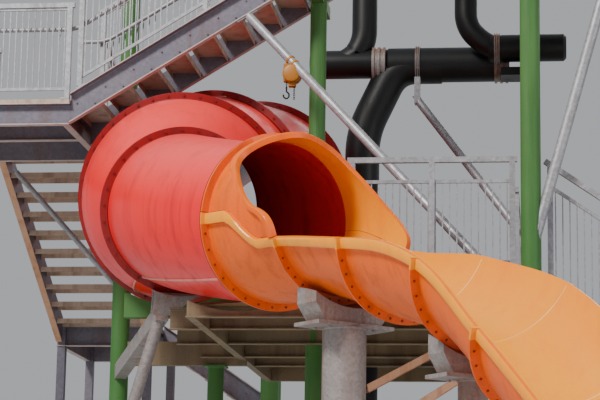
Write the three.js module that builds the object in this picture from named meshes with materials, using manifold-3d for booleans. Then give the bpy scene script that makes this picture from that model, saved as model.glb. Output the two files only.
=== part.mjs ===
// A water park slide tower: a galvanised steel stair tower that carries an enclosed fibreglass
// slide, which narrows through a turn above the middle deck and opens over a steel pole into a
// banked trough. Millimetres, +Z up, ground at z = 0, the origin under the middle of the pole
// below the tube's mouth. +X runs along the tower's front, +Y into the tower.
import * as THREE from "three";
import { mergeVertices } from "three/addons/utils/BufferGeometryUtils.js";
import Module from "manifold-3d";

const wasm = await Module();
wasm.setup();

// Driving dimensions
const GAP = 0.3; // running gap between pieces that rest on each other

const SHELL = 12; // fibreglass wall
const LIP = 66; // height of a bolted flange above the wall
const FLANGE = 14; // thickness of one flange
const BORE = 685; // inner radius of the narrow tube and of the trough
const RIM = 96; // depth of the trough's rolled rim
const RIM_OUT = 46; // how far the rolled rim stands out

// Stations along the slide, upstream to downstream: the middle of the bore and the bore's radius.
const STATIONS = [
  { at: [-2047, 10900, 6679], bore: BORE },
  { at: [-1671, 7831, 6277], bore: BORE },
  { at: [-1476, 6243, 6069], bore: BORE },
  { at: [-1441, 4900, 5850], bore: 950 },
  { at: [-1760, 3960, 5690], bore: 990 },
  { at: [-1941, 3252, 5474], bore: 1005 },
  { at: [-1780, 2360, 5200], bore: 720 },
  { at: [-644, 672, 4764], bore: BORE },
  { at: [0, 0, 4722], bore: BORE },
  { at: [640, -735, 4440], bore: BORE },
  { at: [1289, -1528, 4087], bore: BORE },
  { at: [1777, -2215, 3493], bore: BORE },
  { at: [2615, -3656, 2360], bore: BORE },
  { at: [3260, -5230, 1640], bore: BORE },
  { at: [3660, -6930, 1240], bore: BORE },
  { at: [3870, -8690, 1130], bore: BORE },
  { at: [3980, -10450, 1110], bore: BORE },
];
const MOUTH = 7; // the station where the tube opens

const COLUMN_R = 97; // main columns, 194 mm pipe
const POST_R = 84; // lighter columns, 168 mm pipe
const DECK_Z = 4300; // top of the middle deck
const DECK = { x0: -1550, x1: 1580, y0: 1334.3, y1: 6600 };
const LAND_Z = 6450; // top of the upper left landing
const LAND = { x0: -5200, x1: -3059, y0: 2900, y1: 4600 };
const TOP_Z = 8850; // top of the top platform
const TOP = { x0: 861, x1: 3900, y0: 1150, y1: 4700 };
const REAR_Z = 4850; // top of the rear landing
const REAR = { x0: -4240, x1: -3060, y0: 7510, y1: 9170 };
const SIDE_Z = 2150; // top of the landing of the right-hand stair
const SIDE = { x0: 4724, x1: 5904, y0: 1355, y1: 3490 };
const LOW_Z = 2425; // top of the landing of the left-hand stair
const LOW = { x0: 515, x1: 1700, y0: 8150, y1: 10170 };
const BEAM_Z = 3985; // underside of the beam between column A and the middle deck
const GUARD_H = 1120;
const MAIN = { x: -378, y: 5600, z: 7470, r: 194 }; // supply pipe's place, header's height, pipe radius

// Looks
const LOOKS = {
  red: { color: 0xd23a3a, roughness: 0.35, metalness: 0 },
  orange: { color: 0xe8782a, roughness: 0.3, metalness: 0 },
  green: { color: 0x5f915a, roughness: 0.5, metalness: 0.1 },
  steel: { color: 0x8f9398, roughness: 0.55, metalness: 0.8 },
  channel: { color: 0x8a7a72, roughness: 0.65, metalness: 0.5 },
  board: { color: 0x7b6e62, roughness: 0.8, metalness: 0.1 },
  black: { color: 0x1b1c1e, roughness: 0.45, metalness: 0 },
};

const root = new THREE.Group();
const V = (x, y, z) => new THREE.Vector3(x, y, z);

// Solids
// Leaves only positions and shared vertices, with the faces pointing out.
function clean(geometry) {
  const g = geometry.clone();
  for (const name of Object.keys(g.attributes)) if (name !== "position") g.deleteAttribute(name);
  const merged = mergeVertices(g, 1e-3);
  const p = merged.attributes.position;
  const idx = Array.from(merged.index.array);
  const kept = [];
  let volume = 0;
  const a = V(0, 0, 0), b = V(0, 0, 0), c = V(0, 0, 0);
  for (let i = 0; i < idx.length; i += 3) {
    const [i0, i1, i2] = [idx[i], idx[i + 1], idx[i + 2]];
    if (i0 === i1 || i1 === i2 || i0 === i2) continue;
    kept.push(i0, i1, i2);
    a.fromBufferAttribute(p, i0);
    b.fromBufferAttribute(p, i1);
    c.fromBufferAttribute(p, i2);
    volume += a.dot(b.cross(c));
  }
  if (volume < 0) for (let i = 0; i < kept.length; i += 3) [kept[i], kept[i + 1]] = [kept[i + 1], kept[i]];
  merged.setIndex(kept);
  return merged;
}

function solid(geometry) {
  const g = clean(geometry);
  return new wasm.Manifold(
    new wasm.Mesh({
      numProp: 3,
      vertProperties: new Float32Array(g.attributes.position.array),
      triVerts: new Uint32Array(g.index.array),
    })
  );
}

function geometryOf(manifold) {
  const mesh = manifold.getMesh();
  const g = new THREE.BufferGeometry();
  g.setAttribute("position", new THREE.BufferAttribute(new Float32Array(mesh.vertProperties), 3));
  g.setIndex(new THREE.BufferAttribute(new Uint32Array(mesh.triVerts), 1));
  return g;
}

function join(...parts) {
  let m = solid(parts[0]);
  for (const part of parts.slice(1)) m = m.add(solid(part));
  return geometryOf(m);
}

function cut(base, ...tools) {
  let m = solid(base);
  for (const tool of tools) m = m.subtract(solid(tool));
  return geometryOf(m);
}

function keep(base, room) {
  return geometryOf(solid(base).intersect(solid(room)));
}

function piece(name, geometry, look, at = [0, 0, 0]) {
  const material = new THREE.MeshStandardMaterial({ ...LOOKS[look], flatShading: true });
  const mesh = new THREE.Mesh(geometry, material);
  mesh.name = name;
  mesh.position.set(...at);
  root.add(mesh);
  return mesh;
}

// Building blocks
function box(x0, x1, y0, y1, z0, z1) {
  const g = new THREE.BoxGeometry(x1 - x0, y1 - y0, z1 - z0);
  g.translate((x0 + x1) / 2, (y0 + y1) / 2, (z0 + z1) / 2);
  return g;
}

// A basis that carries local +Z along a→b, with local +Y as near to `up` as it can be.
function along(geometry, a, b, up = V(0, 0, 1)) {
  const z = b.clone().sub(a).normalize();
  const x = up.clone().cross(z);
  if (x.length() < 1e-6) x.set(1, 0, 0);
  x.normalize();
  const y = z.clone().cross(x);
  geometry.applyMatrix4(new THREE.Matrix4().makeBasis(x, y, z).setPosition(a));
  return geometry;
}

function rod(a, b, radius, sides = 12) {
  const g = new THREE.CylinderGeometry(radius, radius, a.distanceTo(b), sides);
  g.rotateX(Math.PI / 2);
  g.translate(0, 0, a.distanceTo(b) / 2);
  return along(g, a, b);
}

function beam(a, b, width, height) {
  const g = new THREE.BoxGeometry(width, height, a.distanceTo(b));
  g.translate(0, 0, a.distanceTo(b) / 2);
  return along(g, a, b);
}

// A rolled channel from a to b: web on the line, flanges towards `side` (+1 is local +X).
function channel(a, b, depth, flange, side, web = 9, lip = 12) {
  const s = side, d = depth / 2;
  const outline = [
    [0, -d], [flange * s, -d], [flange * s, -d + lip], [web * s, -d + lip],
    [web * s, d - lip], [flange * s, d - lip], [flange * s, d], [0, d],
  ].map(([x, y]) => new THREE.Vector2(x, y));
  const shape = new THREE.Shape(s > 0 ? outline : outline.reverse());
  const g = new THREE.ExtrudeGeometry(shape, { depth: a.distanceTo(b), bevelEnabled: false });
  return along(g, a, b);
}

// A pipe column on a square base plate with a cap plate, standing at its own origin.
function column(height, radius, plate = 360, cap = 260) {
  const shaft = rod(V(0, 0, 10), V(0, 0, height - 8), radius, 20);
  const base = box(-plate / 2, plate / 2, -plate / 2, plate / 2, 0, 22);
  const head = box(-cap / 2, cap / 2, -cap / 2, cap / 2, height - 16, height);
  return join(shaft, base, head);
}

// A guard standing on the line a→b, which may slope: posts on foot plates, rails, upright bars.
function guard(a, b, pitch = 250, height = GUARD_H, drop = 0, spacing = 1250, bar = 16, at = null) {
  const run = Math.hypot(b.x - a.x, b.y - a.y);
  const rise = b.z - a.z;
  const slope = rise / run;
  const low = 110;
  const parts = [
    beam2d(10, low + slope * 10, run - 10, low + slope * (run - 10), 22, 30),
    beam2d(-18, height - 24 - slope * 18, run + 18, height - 24 + slope * (run + 18), 48, 48),
  ];
  const count = Math.max(1, Math.round((run - 60) / pitch));
  const step = (run - 60) / count;
  for (let i = 1; i < count; i++) {
    const x = 30 + i * step;
    const g = new THREE.BoxGeometry(bar, height - 24 - low, bar);
    parts.push(g.translate(x, (height - 24 + low) / 2 + slope * x, 0));
  }
  const posts = Math.max(1, Math.ceil((run - 60) / spacing));
  const even = Array.from({ length: posts + 1 }, (_, i) => 26 + ((run - 52) * i) / posts);
  for (const x of at ?? even) {
    const bottom = drop > 0 ? -drop : 4 + Math.abs(slope) * 25;
    const g = new THREE.BoxGeometry(50, height - 30 - bottom, 50);
    parts.push(g.translate(x, (height - 30 + bottom) / 2 + slope * x, 0));
    const [x0, x1] = [Math.max(0, x - 60), Math.min(run, x + 60)];
    const foot = 7 / Math.cos(Math.atan(slope)) + GAP;
    if (!drop) parts.push(beam2d(x0, foot + slope * x0, x1, foot + slope * x1, 70, 14));
  }
  const whole = join(...parts);
  const dir = V(b.x - a.x, b.y - a.y, 0).normalize();
  const m = new THREE.Matrix4().makeBasis(dir, V(0, 0, 1), dir.clone().cross(V(0, 0, 1))).setPosition(a);
  return whole.applyMatrix4(m);
}

// Guards that follow each other round a line of corners.
function fence(points, pitch, height) {
  return join(...points.slice(1).map((b, i) => guard(points[i], b, pitch, height)));
}

// A bar in the local XY plane from (x0, y0) to (x1, y1).
function beam2d(x0, y0, x1, y1, width, height) {
  const length = Math.hypot(x1 - x0, y1 - y0);
  const g = new THREE.BoxGeometry(length, height, width);
  g.translate(length / 2, 0, 0);
  g.rotateZ(Math.atan2(y1 - y0, x1 - x0));
  g.translate(x0, y0, 0);
  return g;
}

// A straight flight down from the edge of the upper floor at `top` along `dir`, an axis. `top` is
// its right-hand corner; the last tread is flush with the lower floor.
function flight(top, dir, across, risers, rise, going, below0 = 2000) {
  const left = V(0, 0, 1).cross(dir).normalize();
  const run = risers * going;
  const slope = rise / going;
  const web = 75, below = 92; // flange width, and how far the stringer's middle is below the nosing line
  const line = (offset, d) => top.clone().addScaledVector(dir, d).addScaledVector(left, offset)
    .add(V(0, 0, -below - d * slope));
  const parts = [
    channel(line(web, -200), line(web, run + 200), 260, web, -1),
    channel(line(across - web, -200), line(across - web, run + 200), 260, web, 1),
  ];
  for (let i = 1; i <= risers; i++) {
    const c = top.clone().addScaledVector(dir, (i - 0.5) * going).add(V(0, 0, -i * rise));
    const tread = new THREE.BoxGeometry(going + 24, across - 2 * web + 8, 40);
    tread.translate(-12, across / 2, -20);
    parts.push(tread.applyMatrix4(new THREE.Matrix4().makeBasis(dir, left, V(0, 0, 1)).setPosition(c)));
  }
  const room = box(GAP, run - GAP, -50, across + 50, -risers * rise - below0, 1000);
  room.applyMatrix4(new THREE.Matrix4().makeBasis(dir, left, V(0, 0, 1)).setPosition(top));
  return keep(join(...parts), room);
}

// The slide's centre line
const curve = new THREE.CatmullRomCurve3(STATIONS.map((s) => V(...s.at)), false, "centripetal");
curve.arcLengthDivisions = 3200;
const LENGTHS = curve.getLengths();
const TOTAL = LENGTHS[LENGTHS.length - 1];
// Distance along the centre line of each station.
const STATION_S = STATIONS.map((_, i) => {
  const t = (i / (STATIONS.length - 1)) * 3200;
  const k = Math.min(3199, Math.floor(t));
  return LENGTHS[k] + (LENGTHS[k + 1] - LENGTHS[k]) * (t - k);
});

function frameAt(s) {
  const u = Math.min(1, Math.max(0, s / TOTAL));
  const p = curve.getPointAt(u);
  const t = curve.getTangentAt(u);
  const l = V(-t.y, t.x, 0).normalize();
  const up = t.clone().cross(l).normalize();
  return { p, t, l, up };
}

// The bore's inner radius at distance s: straight tapers between stations.
function boreAt(s) {
  for (let i = 1; i < STATIONS.length; i++) {
    if (s <= STATION_S[i] || i === STATIONS.length - 1) {
      const k = Math.min(1, Math.max(0, (s - STATION_S[i - 1]) / (STATION_S[i] - STATION_S[i - 1])));
      const e = k * k * (3 - 2 * k);
      return STATIONS[i - 1].bore + (STATIONS[i].bore - STATIONS[i - 1].bore) * e;
    }
  }
  return BORE;
}

// A point at distance s, angle (0 = the rider's left, 90 = up, 180 = right) and radius.
function onSlide(s, angle, radius) {
  const f = frameAt(s);
  const r = THREE.MathUtils.degToRad(angle);
  return f.p.clone().addScaledVector(f.l, radius * Math.cos(r)).addScaledVector(f.up, radius * Math.sin(r));
}

function remap(geometry, fn) {
  const p = geometry.attributes.position;
  for (let i = 0; i < p.count; i++) {
    const q = fn(p.getX(i), p.getY(i), p.getZ(i));
    p.setXYZ(i, q.x, q.y, q.z);
  }
  return geometry;
}

// A closed length of tube: a lathe profile of wall and end flanges, bent along the centre line.
function tube(s0, s1, steps, sides = 30) {
  const REF = 1000;
  const outer = REF + SHELL, lip = REF + SHELL + LIP;
  const L = s1 - s0;
  const profile = [];
  for (let i = 0; i <= steps; i++) profile.push([REF, (L * i) / steps]);
  profile.push([lip, L], [lip, L - FLANGE], [outer, L - FLANGE]);
  for (let i = steps - 1; i >= 1; i--) profile.push([outer, (L * i) / steps]);
  profile.push([outer, FLANGE], [lip, FLANGE], [lip, 0], [REF, 0]);
  const g = new THREE.LatheGeometry(profile.map(([x, y]) => new THREE.Vector2(x, y)), sides);
  return clean(remap(g, (x, y, z) => {
    const s = s0 + y;
    const angle = THREE.MathUtils.radToDeg(Math.atan2(z, x));
    return onSlide(s, angle, boreAt(s) + Math.hypot(x, z) - REF);
  }));
}

// A solid core along the slide, `extra` outside the bore, to cut clearances and saddles with. Its
// flats stay outside the true circle.
function core(s0, s1, extra, steps = 4, sides = 64) {
  const profile = [[0, 0]];
  for (let i = 0; i <= steps; i++) profile.push([1000, i / steps]);
  profile.push([0, 1]);
  const g = new THREE.LatheGeometry(profile.map(([x, y]) => new THREE.Vector2(x, y)), sides);
  return remap(g, (x, y, z) => {
    const s = s0 + (s1 - s0) * y;
    const r = Math.hypot(x, z) / 1000;
    const angle = THREE.MathUtils.radToDeg(Math.atan2(z, x));
    return onSlide(s, angle, (r * (boreAt(s) + extra)) / Math.cos(Math.PI / sides));
  });
}

// Tube sections
const S = STATION_S;
const tubeNames = ["Tube_straight_1", "Tube_straight_2", "Tube_flare", "Tube_wide_1", "Tube_wide_2",
  "Tube_reducer_1", "Tube_reducer_2"];
tubeNames.forEach((name, i) => {
  const steps = i === 6 ? 5 : i < 2 ? 1 : 3;
  piece(name, tube(S[i] + GAP / 2, S[i + 1] - GAP / 2, steps), "red");
});

// The trough
const smooth = (a, b, x) => {
  const k = Math.min(1, Math.max(0, (x - a) / (b - a)));
  return k * k * (3 - 2 * k);
};
// How far the near rim dips below level after the mouth, and the far rim, in degrees.
const nearDip = (s) => {
  const d = s - S[MOUTH];
  return 24 * smooth(220, 600, d) - 17 * smooth(800, 2600, d);
};
const farDip = (s) => {
  const d = s - S[MOUTH];
  return 21 * smooth(150, 1050, d) - 9 * smooth(1150, 2000, d);
};

// Distances along a bay at which its section changes: both flanges and even steps between.
function bayCuts(L, steps) {
  const cuts = [0, FLANGE, FLANGE + 2];
  for (let i = 1; i < steps; i++) cuts.push((L * i) / steps);
  cuts.push(L - FLANGE - 2, L - FLANGE, L);
  return cuts;
}

// One bay of trough: its section follows the rims, and both ends thicken into bolted flanges.
const N_ARC = 12;
function trough(s0, s1, steps) {
  const band = RIM / (Math.PI * BORE);
  const ring = [];
  for (let i = 0; i <= N_ARC; i++) ring.push([i / N_ARC, 0]);
  ring.push([1, RIM_OUT], [1 - band, RIM_OUT], [1 - band - 0.004, SHELL]);
  for (let i = N_ARC - 1; i >= 1; i--) {
    if (i / N_ARC > band * 1.4 && i / N_ARC < 1 - band * 1.4) ring.push([i / N_ARC, SHELL]);
  }
  ring.push([band + 0.004, SHELL], [band, RIM_OUT], [0, RIM_OUT]);
  const cuts = bayCuts(s1 - s0, steps);
  const height = (y, x, k) => {
    if (y < 1) return y;
    if (k < 2 || k > cuts.length - 3) return SHELL + LIP;
    return Math.min(x, 1 - x) < band + 0.001 ? RIM_OUT : SHELL;
  };
  return bend(ring.map(([x, y]) => [x, y > 0 ? SHELL + LIP : 0]), cuts, s0, 0, height);
}

// Sweeps an outline of [0..1 from the near rim to the far rim, height above the bore] along a bay.
// The outline is laid out round the bore's lower half before it is swept, so its ends are true arcs.
function bend(ring, cuts, s0, spare, height = (y) => y) {
  const shape = new THREE.Shape(ring.map(([x, y]) => {
    const angle = Math.PI * (1 + x);
    return new THREE.Vector2((BORE + y) * Math.cos(angle), (BORE + y) * Math.sin(angle));
  }));
  const g = new THREE.ExtrudeGeometry(shape, { depth: 1, steps: cuts.length - 1, bevelEnabled: false });
  return clean(remap(g, (px, py, z) => {
    let angle = Math.atan2(py, px);
    if (angle > Math.PI / 2) angle -= 2 * Math.PI;
    const x = 1 + angle / Math.PI, y = Math.hypot(px, py) - BORE;
    const k = Math.round(z * (cuts.length - 1));
    const s = s0 + cuts[k];
    const a0 = 180 + nearDip(s) - spare, a1 = 360 - farDip(s) + spare;
    return onSlide(s, a0 + (a1 - a0) * x, BORE + height(y, x, k));
  }));
}

const troughNames = ["Trough_1", "Trough_2", "Trough_3", "Trough_4", "Trough_5", "Trough_6",
  "Trough_7", "Trough_8", "Trough_9"];
troughNames.forEach((name, i) => {
  const k = MOUTH + i;
  piece(name, trough(S[k] + GAP / 2, S[k + 1] - GAP / 2, i < 1 ? 6 : i < 5 ? 4 : 3), "orange");
});

// The exit hood: an upper half shell whose two horns run forward onto the trough's rims
function hood() {
  // how far forward the cut edge reaches at each angle
  const edge = [[-26, 950], [-9, 940], [0, 790], [8, 670], [20, 550], [33, 450], [46, 370], [62, 350],
    [78, 360], [95, 400], [112, 300], [125, 220], [138, 180], [150, 262], [160, 325], [168, 410], [177, 545],
    [185, 680], [192, 880], [210, 880]];
  const reach = (deg) => {
    const i = edge.findIndex(([d]) => deg <= d + 1e-6);
    if (i <= 0) return edge[0][1];
    const [[d0, r0], [d1, r1]] = [edge[i - 1], edge[i]];
    return r0 + ((r1 - r0) * (deg - d0)) / (d1 - d0);
  };
  const REF = 1000, OUT = SHELL + 42, FROM = -26, TO = 207;
  const middle = [0.75, 0.5, 0.25];
  const section = [
    [0, 0], ...middle.slice().reverse().map((m) => [m * REF, 0]), [REF, 0], [REF, OUT], [REF - 104, OUT],
    [REF - 107, SHELL], ...middle.map((m) => [m * REF, SHELL]),
    [FLANGE + 1, SHELL], [FLANGE, SHELL + LIP], [0, SHELL + LIP],
  ];
  const shape = new THREE.Shape(section.map(([x, y]) => new THREE.Vector2(x, y)));
  const g = new THREE.ExtrudeGeometry(shape, { depth: TO - FROM, steps: 39, bevelEnabled: false });
  const shell = clean(remap(g, (x, y, z) => {
    const deg = z + FROM;
    const far = reach(deg);
    const d = x <= FLANGE + 1 ? x : x >= REF - 107 ? far - (REF - x) : FLANGE + 1 + (x / REF) * (far - 124);
    return onSlide(S[MOUTH] + GAP / 2 + d, deg, BORE + y);
  }));
  // leave a hair's gap above the trough's rims
  const under = [];
  for (let i = 0; i <= N_ARC; i++) under.push([i / N_ARC, -300]);
  under.push([1, 0], [1, RIM_OUT]);
  for (let i = N_ARC; i >= 0; i--) under.push([i / N_ARC, 200]);
  under.push([0, RIM_OUT], [0, 0]);
  const [a, b, c] = [S[MOUTH] + GAP / 2, S[MOUTH + 1] - GAP / 2, S[MOUTH + 2] - GAP / 2];
  return cut(shell, bend(under, bayCuts(b - a, 6), a, 0.035),
    bend(under, bayCuts(c - b - GAP, 4), b + GAP, 0.035),
    bend(under, [-60, 0.5], a, 0.035), bend(under, [-1, 1 + GAP], b, 0.035));
}
piece("Exit_hood", hood(), "orange");

// Poles and cradles under the slide
// A pole that rises to a saddle cut to the slide's flanges at a station.
function cradlePole(k, radius, half, thick, foot = 0) {
  const f = frameAt(S[k]);
  const reach = boreAt(S[k]) + SHELL + LIP;
  const low = k === MOUTH + 1 ? f.p.clone().setZ(f.p.z - reach) : f.p.clone().addScaledVector(f.up, -reach);
  const bottom = low.z;
  const ground = low.clone().setZ(0);
  const dir = V(f.t.x, f.t.y, 0).normalize();
  const side = V(-dir.y, dir.x, 0);
  const parts = [rod(ground.clone().setZ(foot + 12), ground.clone().setZ(bottom - 190), radius, 24)];
  const plate = radius * 2 + (foot > 0 ? 120 : 240);
  const lay = (g, z) => g.applyMatrix4(new THREE.Matrix4().makeBasis(dir, side, V(0, 0, 1))
    .setPosition(ground.x, ground.y, z));
  parts.push(lay(box(-plate / 2, plate / 2, -plate / 2, plate / 2, 0, 28), foot));
  parts.push(lay(box(-thick / 2 - 40, thick / 2 + 40, -half, half, 0, 30), bottom - 205));
  // the trapezoid saddle
  const shape = new THREE.Shape([[-half * 0.72, 0], [half * 0.72, 0], [half, 150], [half, 300],
    [-half, 300], [-half, 150]].map(([x, y]) => new THREE.Vector2(x, y)));
  const g = new THREE.ExtrudeGeometry(shape, { depth: thick, bevelEnabled: false });
  g.translate(0, 0, -thick / 2);
  g.applyMatrix4(new THREE.Matrix4().makeBasis(side, V(0, 0, 1), side.clone().cross(V(0, 0, 1)))
    .setPosition(ground.x, ground.y, bottom - 178));
  parts.push(g);
  const whole = join(...parts);
  const cutter = core(S[k] - 500, Math.min(TOTAL, S[k] + 500), SHELL + LIP + GAP, 6);
  return cut(whole, cutter);
}
piece("Mouth_pole", cradlePole(8, 177, 380, 260), "steel");
piece("Trough_pole_2", cradlePole(10, 110, 330, 200), "steel");
piece("Trough_pole_3", cradlePole(12, 110, 330, 200), "steel");
piece("Trough_pole_4", cradlePole(14, 110, 330, 200), "steel");
piece("Trough_pole_5", cradlePole(15, 110, 330, 200), "steel");
piece("Tube_pole_1", cradlePole(0, 110, 330, 160), "green");
piece("Tube_pole_2", cradlePole(1, 110, 330, 200), "green");
piece("Tube_stand", cradlePole(2, 60, 300, 160, DECK_Z + GAP), "green");

// Cross heads on the middle deck that reach out under the wide tube.
function crossHead(k, x0, x1, top, deep) {
  const y = STATIONS[k].at[1];
  const parts = [box(x0, x1, y - 60, y + 60, top - deep, top)];
  if (top - deep > DECK_Z + 60) {
    parts.push(box(x1 - 120, x1, y - 60, y + 60, DECK_Z + GAP, top));
    parts.push(box(DECK.x0, DECK.x0 + 120, y - 60, y + 60, DECK_Z + GAP, top));
    parts.push(box(DECK.x0 - 30, x1 + 30, y - 90, y + 90, DECK_Z + GAP, DECK_Z + 16));
  }
  return cut(join(...parts), core(S[k] - 760, S[k] + 760, SHELL + LIP + GAP, 10));
}
piece("Tube_cradle_1", crossHead(4, -2350, -1120, 4860, 330), "green");
piece("Tube_cradle_2", crossHead(5, -2500, -1000, DECK_Z + GAP + 240, 240), "green");

// The bracket under the reducer: a saddle on a raking leg, held back to column A by an arm.
function prop() {
  const f = frameAt(S[6]);
  const low = f.p.clone().addScaledVector(f.up, -(boreAt(S[6]) + SHELL + LIP));
  const head = V(low.x - 60, low.y + 10, low.z - 100);
  const foot = V(-3322, 3053, 0);
  const elbow = V(low.x - 150, low.y + 20, low.z - 190);
  const back = V(-2829, 4600, 3900);
  const dir = back.clone().sub(elbow).normalize();
  const leg = rod(foot.clone().setZ(8), elbow, 57, 14);
  const arm = beam(elbow.clone().addScaledVector(dir, -60), back, 120, 150);
  const block = box(head.x - 230, head.x + 200, head.y - 110, head.y + 110, head.z - 120, head.z + 160);
  return cut(join(block, leg, arm,
    box(foot.x - 150, foot.x + 150, foot.y - 150, foot.y + 150, 0, 20)),
    core(S[6] - 400, S[6] + 400, SHELL + LIP + GAP, 6),
    rod(V(-2829, 4600, 3000), V(-2829, 4600, 5000), COLUMN_R + GAP, 20));
}
piece("Tube_prop", prop(), "steel");

// Columns
const mainColumns = {
  Column_A: [-2829, 4600, 8200], Column_E: [1490, 4600, TOP_Z - 250 - GAP],
  Column_F: [3700, 1250, TOP_Z - 250 - GAP],
  Column_G: [3700, 4560, TOP_Z - 250 - GAP], Column_U1: [-4900, 3050, LAND_Z - 260 - GAP],
  Column_U2: [-4900, 4450, LAND_Z - 260 - GAP],
};
for (const [name, [x, y, h]] of Object.entries(mainColumns)) {
  let g = column(h, COLUMN_R);
  if (name === "Column_A") g = join(g, box(-229.7, 0, -75, 75, 6192, 6408));
  piece(name, g, "green", [x, y, 0]);
}
// Column C ends in a cross head under both stringers of the upper flight.
const C_AT = [-640, 3430];
// the underside of the upper flight's stringers at x
const underUpper = (x) => TOP_Z - ((TOP.x0 - x) * (2400 / 14)) / 280 - 92
  - 130 / Math.cos(Math.atan(2400 / 14 / 280));
const C_TOP = underUpper(C_AT[0] - 60) - GAP;
piece("Column_C", join(rod(V(0, 0, 10), V(0, 0, C_TOP - 60), POST_R, 20), box(-160, 160, -160, 160, 0, 22),
  box(-60, 60, LAND.y0 - C_AT[1], 3960 - C_AT[1], C_TOP - 120, C_TOP)), "green", [...C_AT, 0]);
piece("Column_D", column(TOP_Z - 250 - GAP, POST_R, 320, 200), "green", [1493, 1250, 0]);
piece("Column_B", column(BEAM_Z - GAP, POST_R, 320, 230), "green", [-1800, 4600, 0]);

// Floors
// A floor frame: channels with their toes outwards all round, and joists along X.
function platform(f, z, depth, joists, floor = 40) {
  const zm = z - floor - depth / 2;
  const t = 75, in1 = 70;
  return [
    channel(V(f.x0, f.y0 + t, zm), V(f.x1, f.y0 + t, zm), depth, t, -1),
    channel(V(f.x0, f.y1 - t, zm), V(f.x1, f.y1 - t, zm), depth, t, 1),
    channel(V(f.x0 + t, f.y0 + in1, zm), V(f.x0 + t, f.y1 - in1, zm), depth, t, 1),
    channel(V(f.x1 - t, f.y0 + in1, zm), V(f.x1 - t, f.y1 - in1, zm), depth, t, -1),
    ...joists.map((y) => channel(V(f.x0 + in1, y, zm + 2), V(f.x1 - in1, y, zm + 2), depth - 14, t - 5, -1)),
  ];
}
const deckBeam = box(-2829, -1480, 4560, 4640, BEAM_Z, BEAM_Z + 250);
const midFrame = join(...platform(DECK, DECK_Z, 220, [2273, 3360, 4440, 5240]), deckBeam);
const clearance = core(S[5], S[7], SHELL + LIP + 30, 8, 32);
const through = (x, y, r) => rod(V(x, y, 3000), V(x, y, 5000), r + GAP, 20);
const deckHoles = [through(...C_AT, POST_R), through(1490, 4600, COLUMN_R), through(-2829, 4600, COLUMN_R),
  through(MAIN.x, MAIN.y, MAIN.r + 20)];
piece("Deck_frame", cut(midFrame, clearance, ...deckHoles), "channel");
piece("Deck_floor", cut(box(DECK.x0, DECK.x1, DECK.y0, DECK.y1, DECK_Z - 40 + GAP, DECK_Z), clearance,
  ...deckHoles), "board");

const slab = (f, z) => box(f.x0 + 6, f.x1 - 6, f.y0 + 6, f.y1 - 6, z - 46, z);
piece("Left_landing", join(...platform(LAND, LAND_Z, 220, [3700]), slab(LAND, LAND_Z)), "channel");

const legs = (f, z) => [[f.x0 + 62, f.y1 - 63], [f.x1 - 62, f.y1 - 63], [f.x0 + 62, f.y0 + 63],
  [f.x1 - 62, f.y0 + 63]].flatMap(([x, y]) => [box(x - 48, x + 48, y - 48, y + 48, 0, z - 20),
  box(x - 110, x + 110, y - 110, y + 110, 0, 16)]);
piece("Rear_landing",
  join(...platform(REAR, REAR_Z, 250, []), slab(REAR, REAR_Z), ...legs(REAR, REAR_Z)), "channel");
piece("Right_landing",
  join(...platform(SIDE, SIDE_Z, 220, []), slab(SIDE, SIDE_Z), ...legs(SIDE, SIDE_Z)), "channel");
piece("Lower_landing",
  join(...platform(LOW, LOW_Z, 220, []), slab(LOW, LOW_Z), ...legs(LOW, LOW_Z)), "channel");

piece("Top_platform", join(...platform(TOP, TOP_Z, 210, [2300, 3450]), slab(TOP, TOP_Z)), "channel");

// Flights
piece("Left_flight", flight(V(-3064, LAND.y1, LAND_Z), V(0, 1, 0), 1176, 10, 160, 291), "channel");
piece("Upper_flight", flight(V(TOP.x0, 3960, TOP_Z), V(-1, 0, 0), 1060, 14, 2400 / 14, 280), "channel");
piece("Right_flight_1", flight(V(DECK.x1, 1360, DECK_Z), V(1, 0, 0), 1000, 12, 2150 / 12, 262), "channel");
piece("Right_flight_2",
  flight(V(SIDE.x0, 3480, SIDE_Z), V(-1, 0, 0), 1000, 12, 2150 / 12, 262, 0), "channel");
piece("Lower_flight_1", flight(V(REAR.x1, 8160, REAR_Z), V(1, 0, 0), 1000, 13, 2425 / 13, 275), "channel");
piece("Lower_flight_2", flight(V(LOW.x0, 10160, LOW_Z), V(-1, 0, 0), 1000, 13, 2425 / 13, 275, 0), "channel");

// Guards
// The height of a stringer's top edge above the nosing line, and the line along one of its sides.
const onStringer = (rise, going) => -92 + 130 / Math.cos(Math.atan(rise / going));
function flightLine(top, dir, offset, risers, rise, going, d0 = 30, d1 = 30) {
  const left = V(0, 0, 1).cross(dir).normalize();
  const at = (d) => top.clone().addScaledVector(dir, d).addScaledVector(left, offset)
    .add(V(0, 0, onStringer(rise, going) - (d * rise) / going));
  return [at(d0), at(risers * going - d1)];
}

{
  const front = DECK.y0 - GAP - 25, up = DECK_Z + 40;
  const posts = [26, 488, 1394];
  piece("Deck_guard", guard(V(-102, front, up), V(1362, front, up), 126, 1120, 240, 950, 16, posts), "steel");
}
piece("Deck_guard_rear", fence([V(1357, 2440, DECK_Z), V(1357, DECK.y1 - 38, DECK_Z),
  V(-560, DECK.y1 - 38, DECK_Z)], 500), "steel");
piece("Landing_guard", fence([V(LAND.x1 - 10, LAND.y0 + 37, LAND_Z), V(LAND.x0 + 37, LAND.y0 + 37, LAND_Z),
  V(LAND.x0 + 37, LAND.y1 - 37, LAND_Z), V(-4260, LAND.y1 - 37, LAND_Z)], 330, 1000), "steel");
{
  const top = V(TOP.x0, 3960, TOP_Z), dir = V(-1, 0, 0), form = [14, 2400 / 14, 280];
  piece("Upper_guard_front", guard(...flightLine(top, dir, 1060 - 37, ...form, 60, 60), 250), "steel");
  piece("Upper_guard_rear", guard(...flightLine(top, dir, 37, ...form, 60, 60), 250), "steel");
}
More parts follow.
